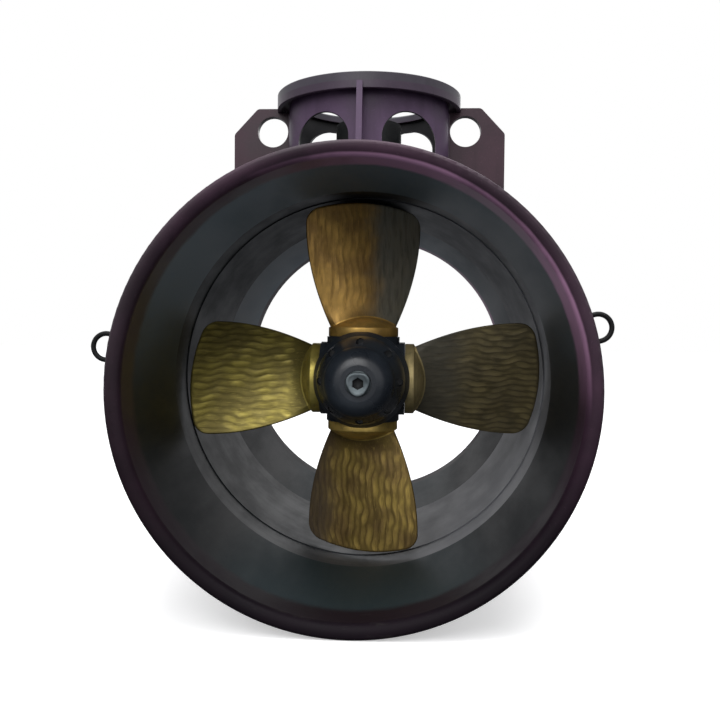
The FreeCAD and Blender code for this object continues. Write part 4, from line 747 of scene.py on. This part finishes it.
pts, out = [], []
for i in range(520):
    a = 2 * math.pi * i / 520
    x, y = 0.2415 * math.cos(a), 0.2415 * math.sin(a)
    z = math.sqrt(0.525 ** 2 - x * x)
    pts.append(Vector((x, y, z + 0.0006)))
    out.append(Vector((math.cos(a), math.sin(a), 1.0)).normalized())
bead("seam_pedestal_foot", pts, out, 0.0045, True, M["weld"])

pts, out = [], []
for i in range(500):
    a = 2 * math.pi * i / 500
    pts.append(Vector((0.2412 * math.cos(a), 0.2412 * math.sin(a), 0.8082)))
    out.append(Vector((math.cos(a), math.sin(a), -1.0)).normalized())
bead("seam_pedestal_head", pts, out, 0.0036, True, M["weld"])

for sx, word in ((-1, "left"), (1, "right")):
    for sy, end in ((-1, "front"), (1, "rear")):
        pts, out = [], []
        for i in range(90):
            x = 0.2440 + (0.4045 - 0.2440) * i / 89
            pts.append(Vector((sx * x, sy * 0.0148, math.sqrt(0.525 ** 2 - x * x) + 0.0006)))
            out.append(Vector((sx * x, sy * 0.525, math.sqrt(0.525 ** 2 - x * x))).normalized())
        bead("seam_%s_ear_foot_%s" % (word, end), pts, out, 0.0042, False, M["weld"])
        pts, out = [], []
        for i in range(130):
            z = 0.4740 + (0.7860 - 0.4740) * i / 129
            pts.append(Vector((sx * 0.2404, sy * 0.0148, z)))
            out.append(Vector((sx * 1.0, sy * 1.0, 0)).normalized())
        bead("seam_%s_ear_side_%s" % (word, end), pts, out, 0.0038, False, M["weld"])

# ------------------------------------------------------------------ floor, light, camera
w = Mat("pale_floor", rough=0.9)
tone = w.noise(2.2, 4, 0.5)
w.out(w.mix(w.step(tone, 0.3, 0.7), lin(236, 236, 236), lin(244, 244, 244)), None, w.bump(w.noise(60.0, 3), 0.05, 0.001))
w.b.inputs["Emission Color"].default_value = (1, 1, 1, 1)
w.b.inputs["Emission Strength"].default_value = 0.42
floor_z = cad_box[0].z - 0.0005
bpy.ops.mesh.primitive_grid_add(x_subdivisions=2, y_subdivisions=2, size=60.0, location=(0, 0, floor_z))
floor = bpy.context.object
floor.name = "studio_floor"
floor.data.materials.append(w.m)
floor.visible_diffuse = False
floor.visible_glossy = False

world = bpy.data.worlds.new("studio_world")
scene.world = world
world.use_nodes = True
wt = world.node_tree
bg = wt.nodes["Background"]
geo = wt.nodes.new("ShaderNodeTexCoord")
sep = wt.nodes.new("ShaderNodeSeparateXYZ")
wt.links.new(geo.outputs["Generated"], sep.inputs[0])
cr = wt.nodes.new("ShaderNodeValToRGB")
mr = wt.nodes.new("ShaderNodeMapRange")
wt.links.new(sep.outputs[2], mr.inputs["Value"])
mr.inputs["From Min"].default_value = -1.0
mr.inputs["From Max"].default_value = 1.0
wt.links.new(mr.outputs["Result"], cr.inputs[0])
e = cr.color_ramp.elements
e[0].position, e[0].color = 0.42, (0.26, 0.27, 0.29, 1)
e[1].position, e[1].color = 0.56, (1.0, 1.0, 1.02, 1)
lp = wt.nodes.new("ShaderNodeLightPath")
bg2 = wt.nodes.new("ShaderNodeBackground")
bg2.inputs["Color"].default_value = (1, 1, 1, 1)
bg2.inputs["Strength"].default_value = 1.0
mixw = wt.nodes.new("ShaderNodeMixShader")
wt.links.new(cr.outputs[0], bg.inputs["Color"])
bg.inputs["Strength"].default_value = 0.85
wt.links.new(lp.outputs["Is Camera Ray"], mixw.inputs[0])
wt.links.new(bg.outputs[0], mixw.inputs[1])
wt.links.new(bg2.outputs[0], mixw.inputs[2])
wt.links.new(mixw.outputs[0], wt.nodes["World Output"].inputs["Surface"])


def softbox(name, loc, target, size, watts, colour=(1, 1, 1)):
    d = bpy.data.lights.new(name, "AREA")
    d.shape = "RECTANGLE"
    d.size, d.size_y = size
    d.energy = watts
    d.color = colour
    o = bpy.data.objects.new(name, d)
    scene.collection.objects.link(o)
    o.location = loc
    o.rotation_mode = "QUATERNION"
    o.rotation_quaternion = (Vector(target) - Vector(loc)).to_track_quat("-Z", "Y")
    return o


softbox("softbox_top", (0.3, -1.2, 3.2), (0, -0.3, 0.2), (3.2, 2.4), 105.0)
softbox("softbox_key", (-0.7, -3.3, 2.1), (0, -0.2, 0), (2.6, 2.0), 48.0)
softbox("softbox_rear", (0.4, 3.4, 2.2), (0, 0.5, -0.2), (2.6, 2.0), 34.0)

cam_data = bpy.data.cameras.new("camera")
cam_data.lens = 41.88
cam_data.sensor_width = 36.0
cam = bpy.data.objects.new("camera", cam_data)
scene.collection.objects.link(cam)
right = Vector((0.99857062, 0.05262288, 0.00935726))
up = Vector((-0.01103486, 0.03168016, 0.99943714))
fwd = Vector((-0.05229682, 0.99811182, -0.03221557))
rot = Matrix((right, up, -fwd)).transposed().to_4x4()
cam.matrix_world = Matrix.Translation((0.11342, -2.55449, 0.12599)) @ rot
cam_data.clip_start, cam_data.clip_end = 0.05, 100.0
scene.camera = cam
scene.view_settings.view_transform = "Standard"
scene.view_settings.look = "None"
scene.view_settings.exposure = 0.0
scene.view_settings.gamma = 1.0
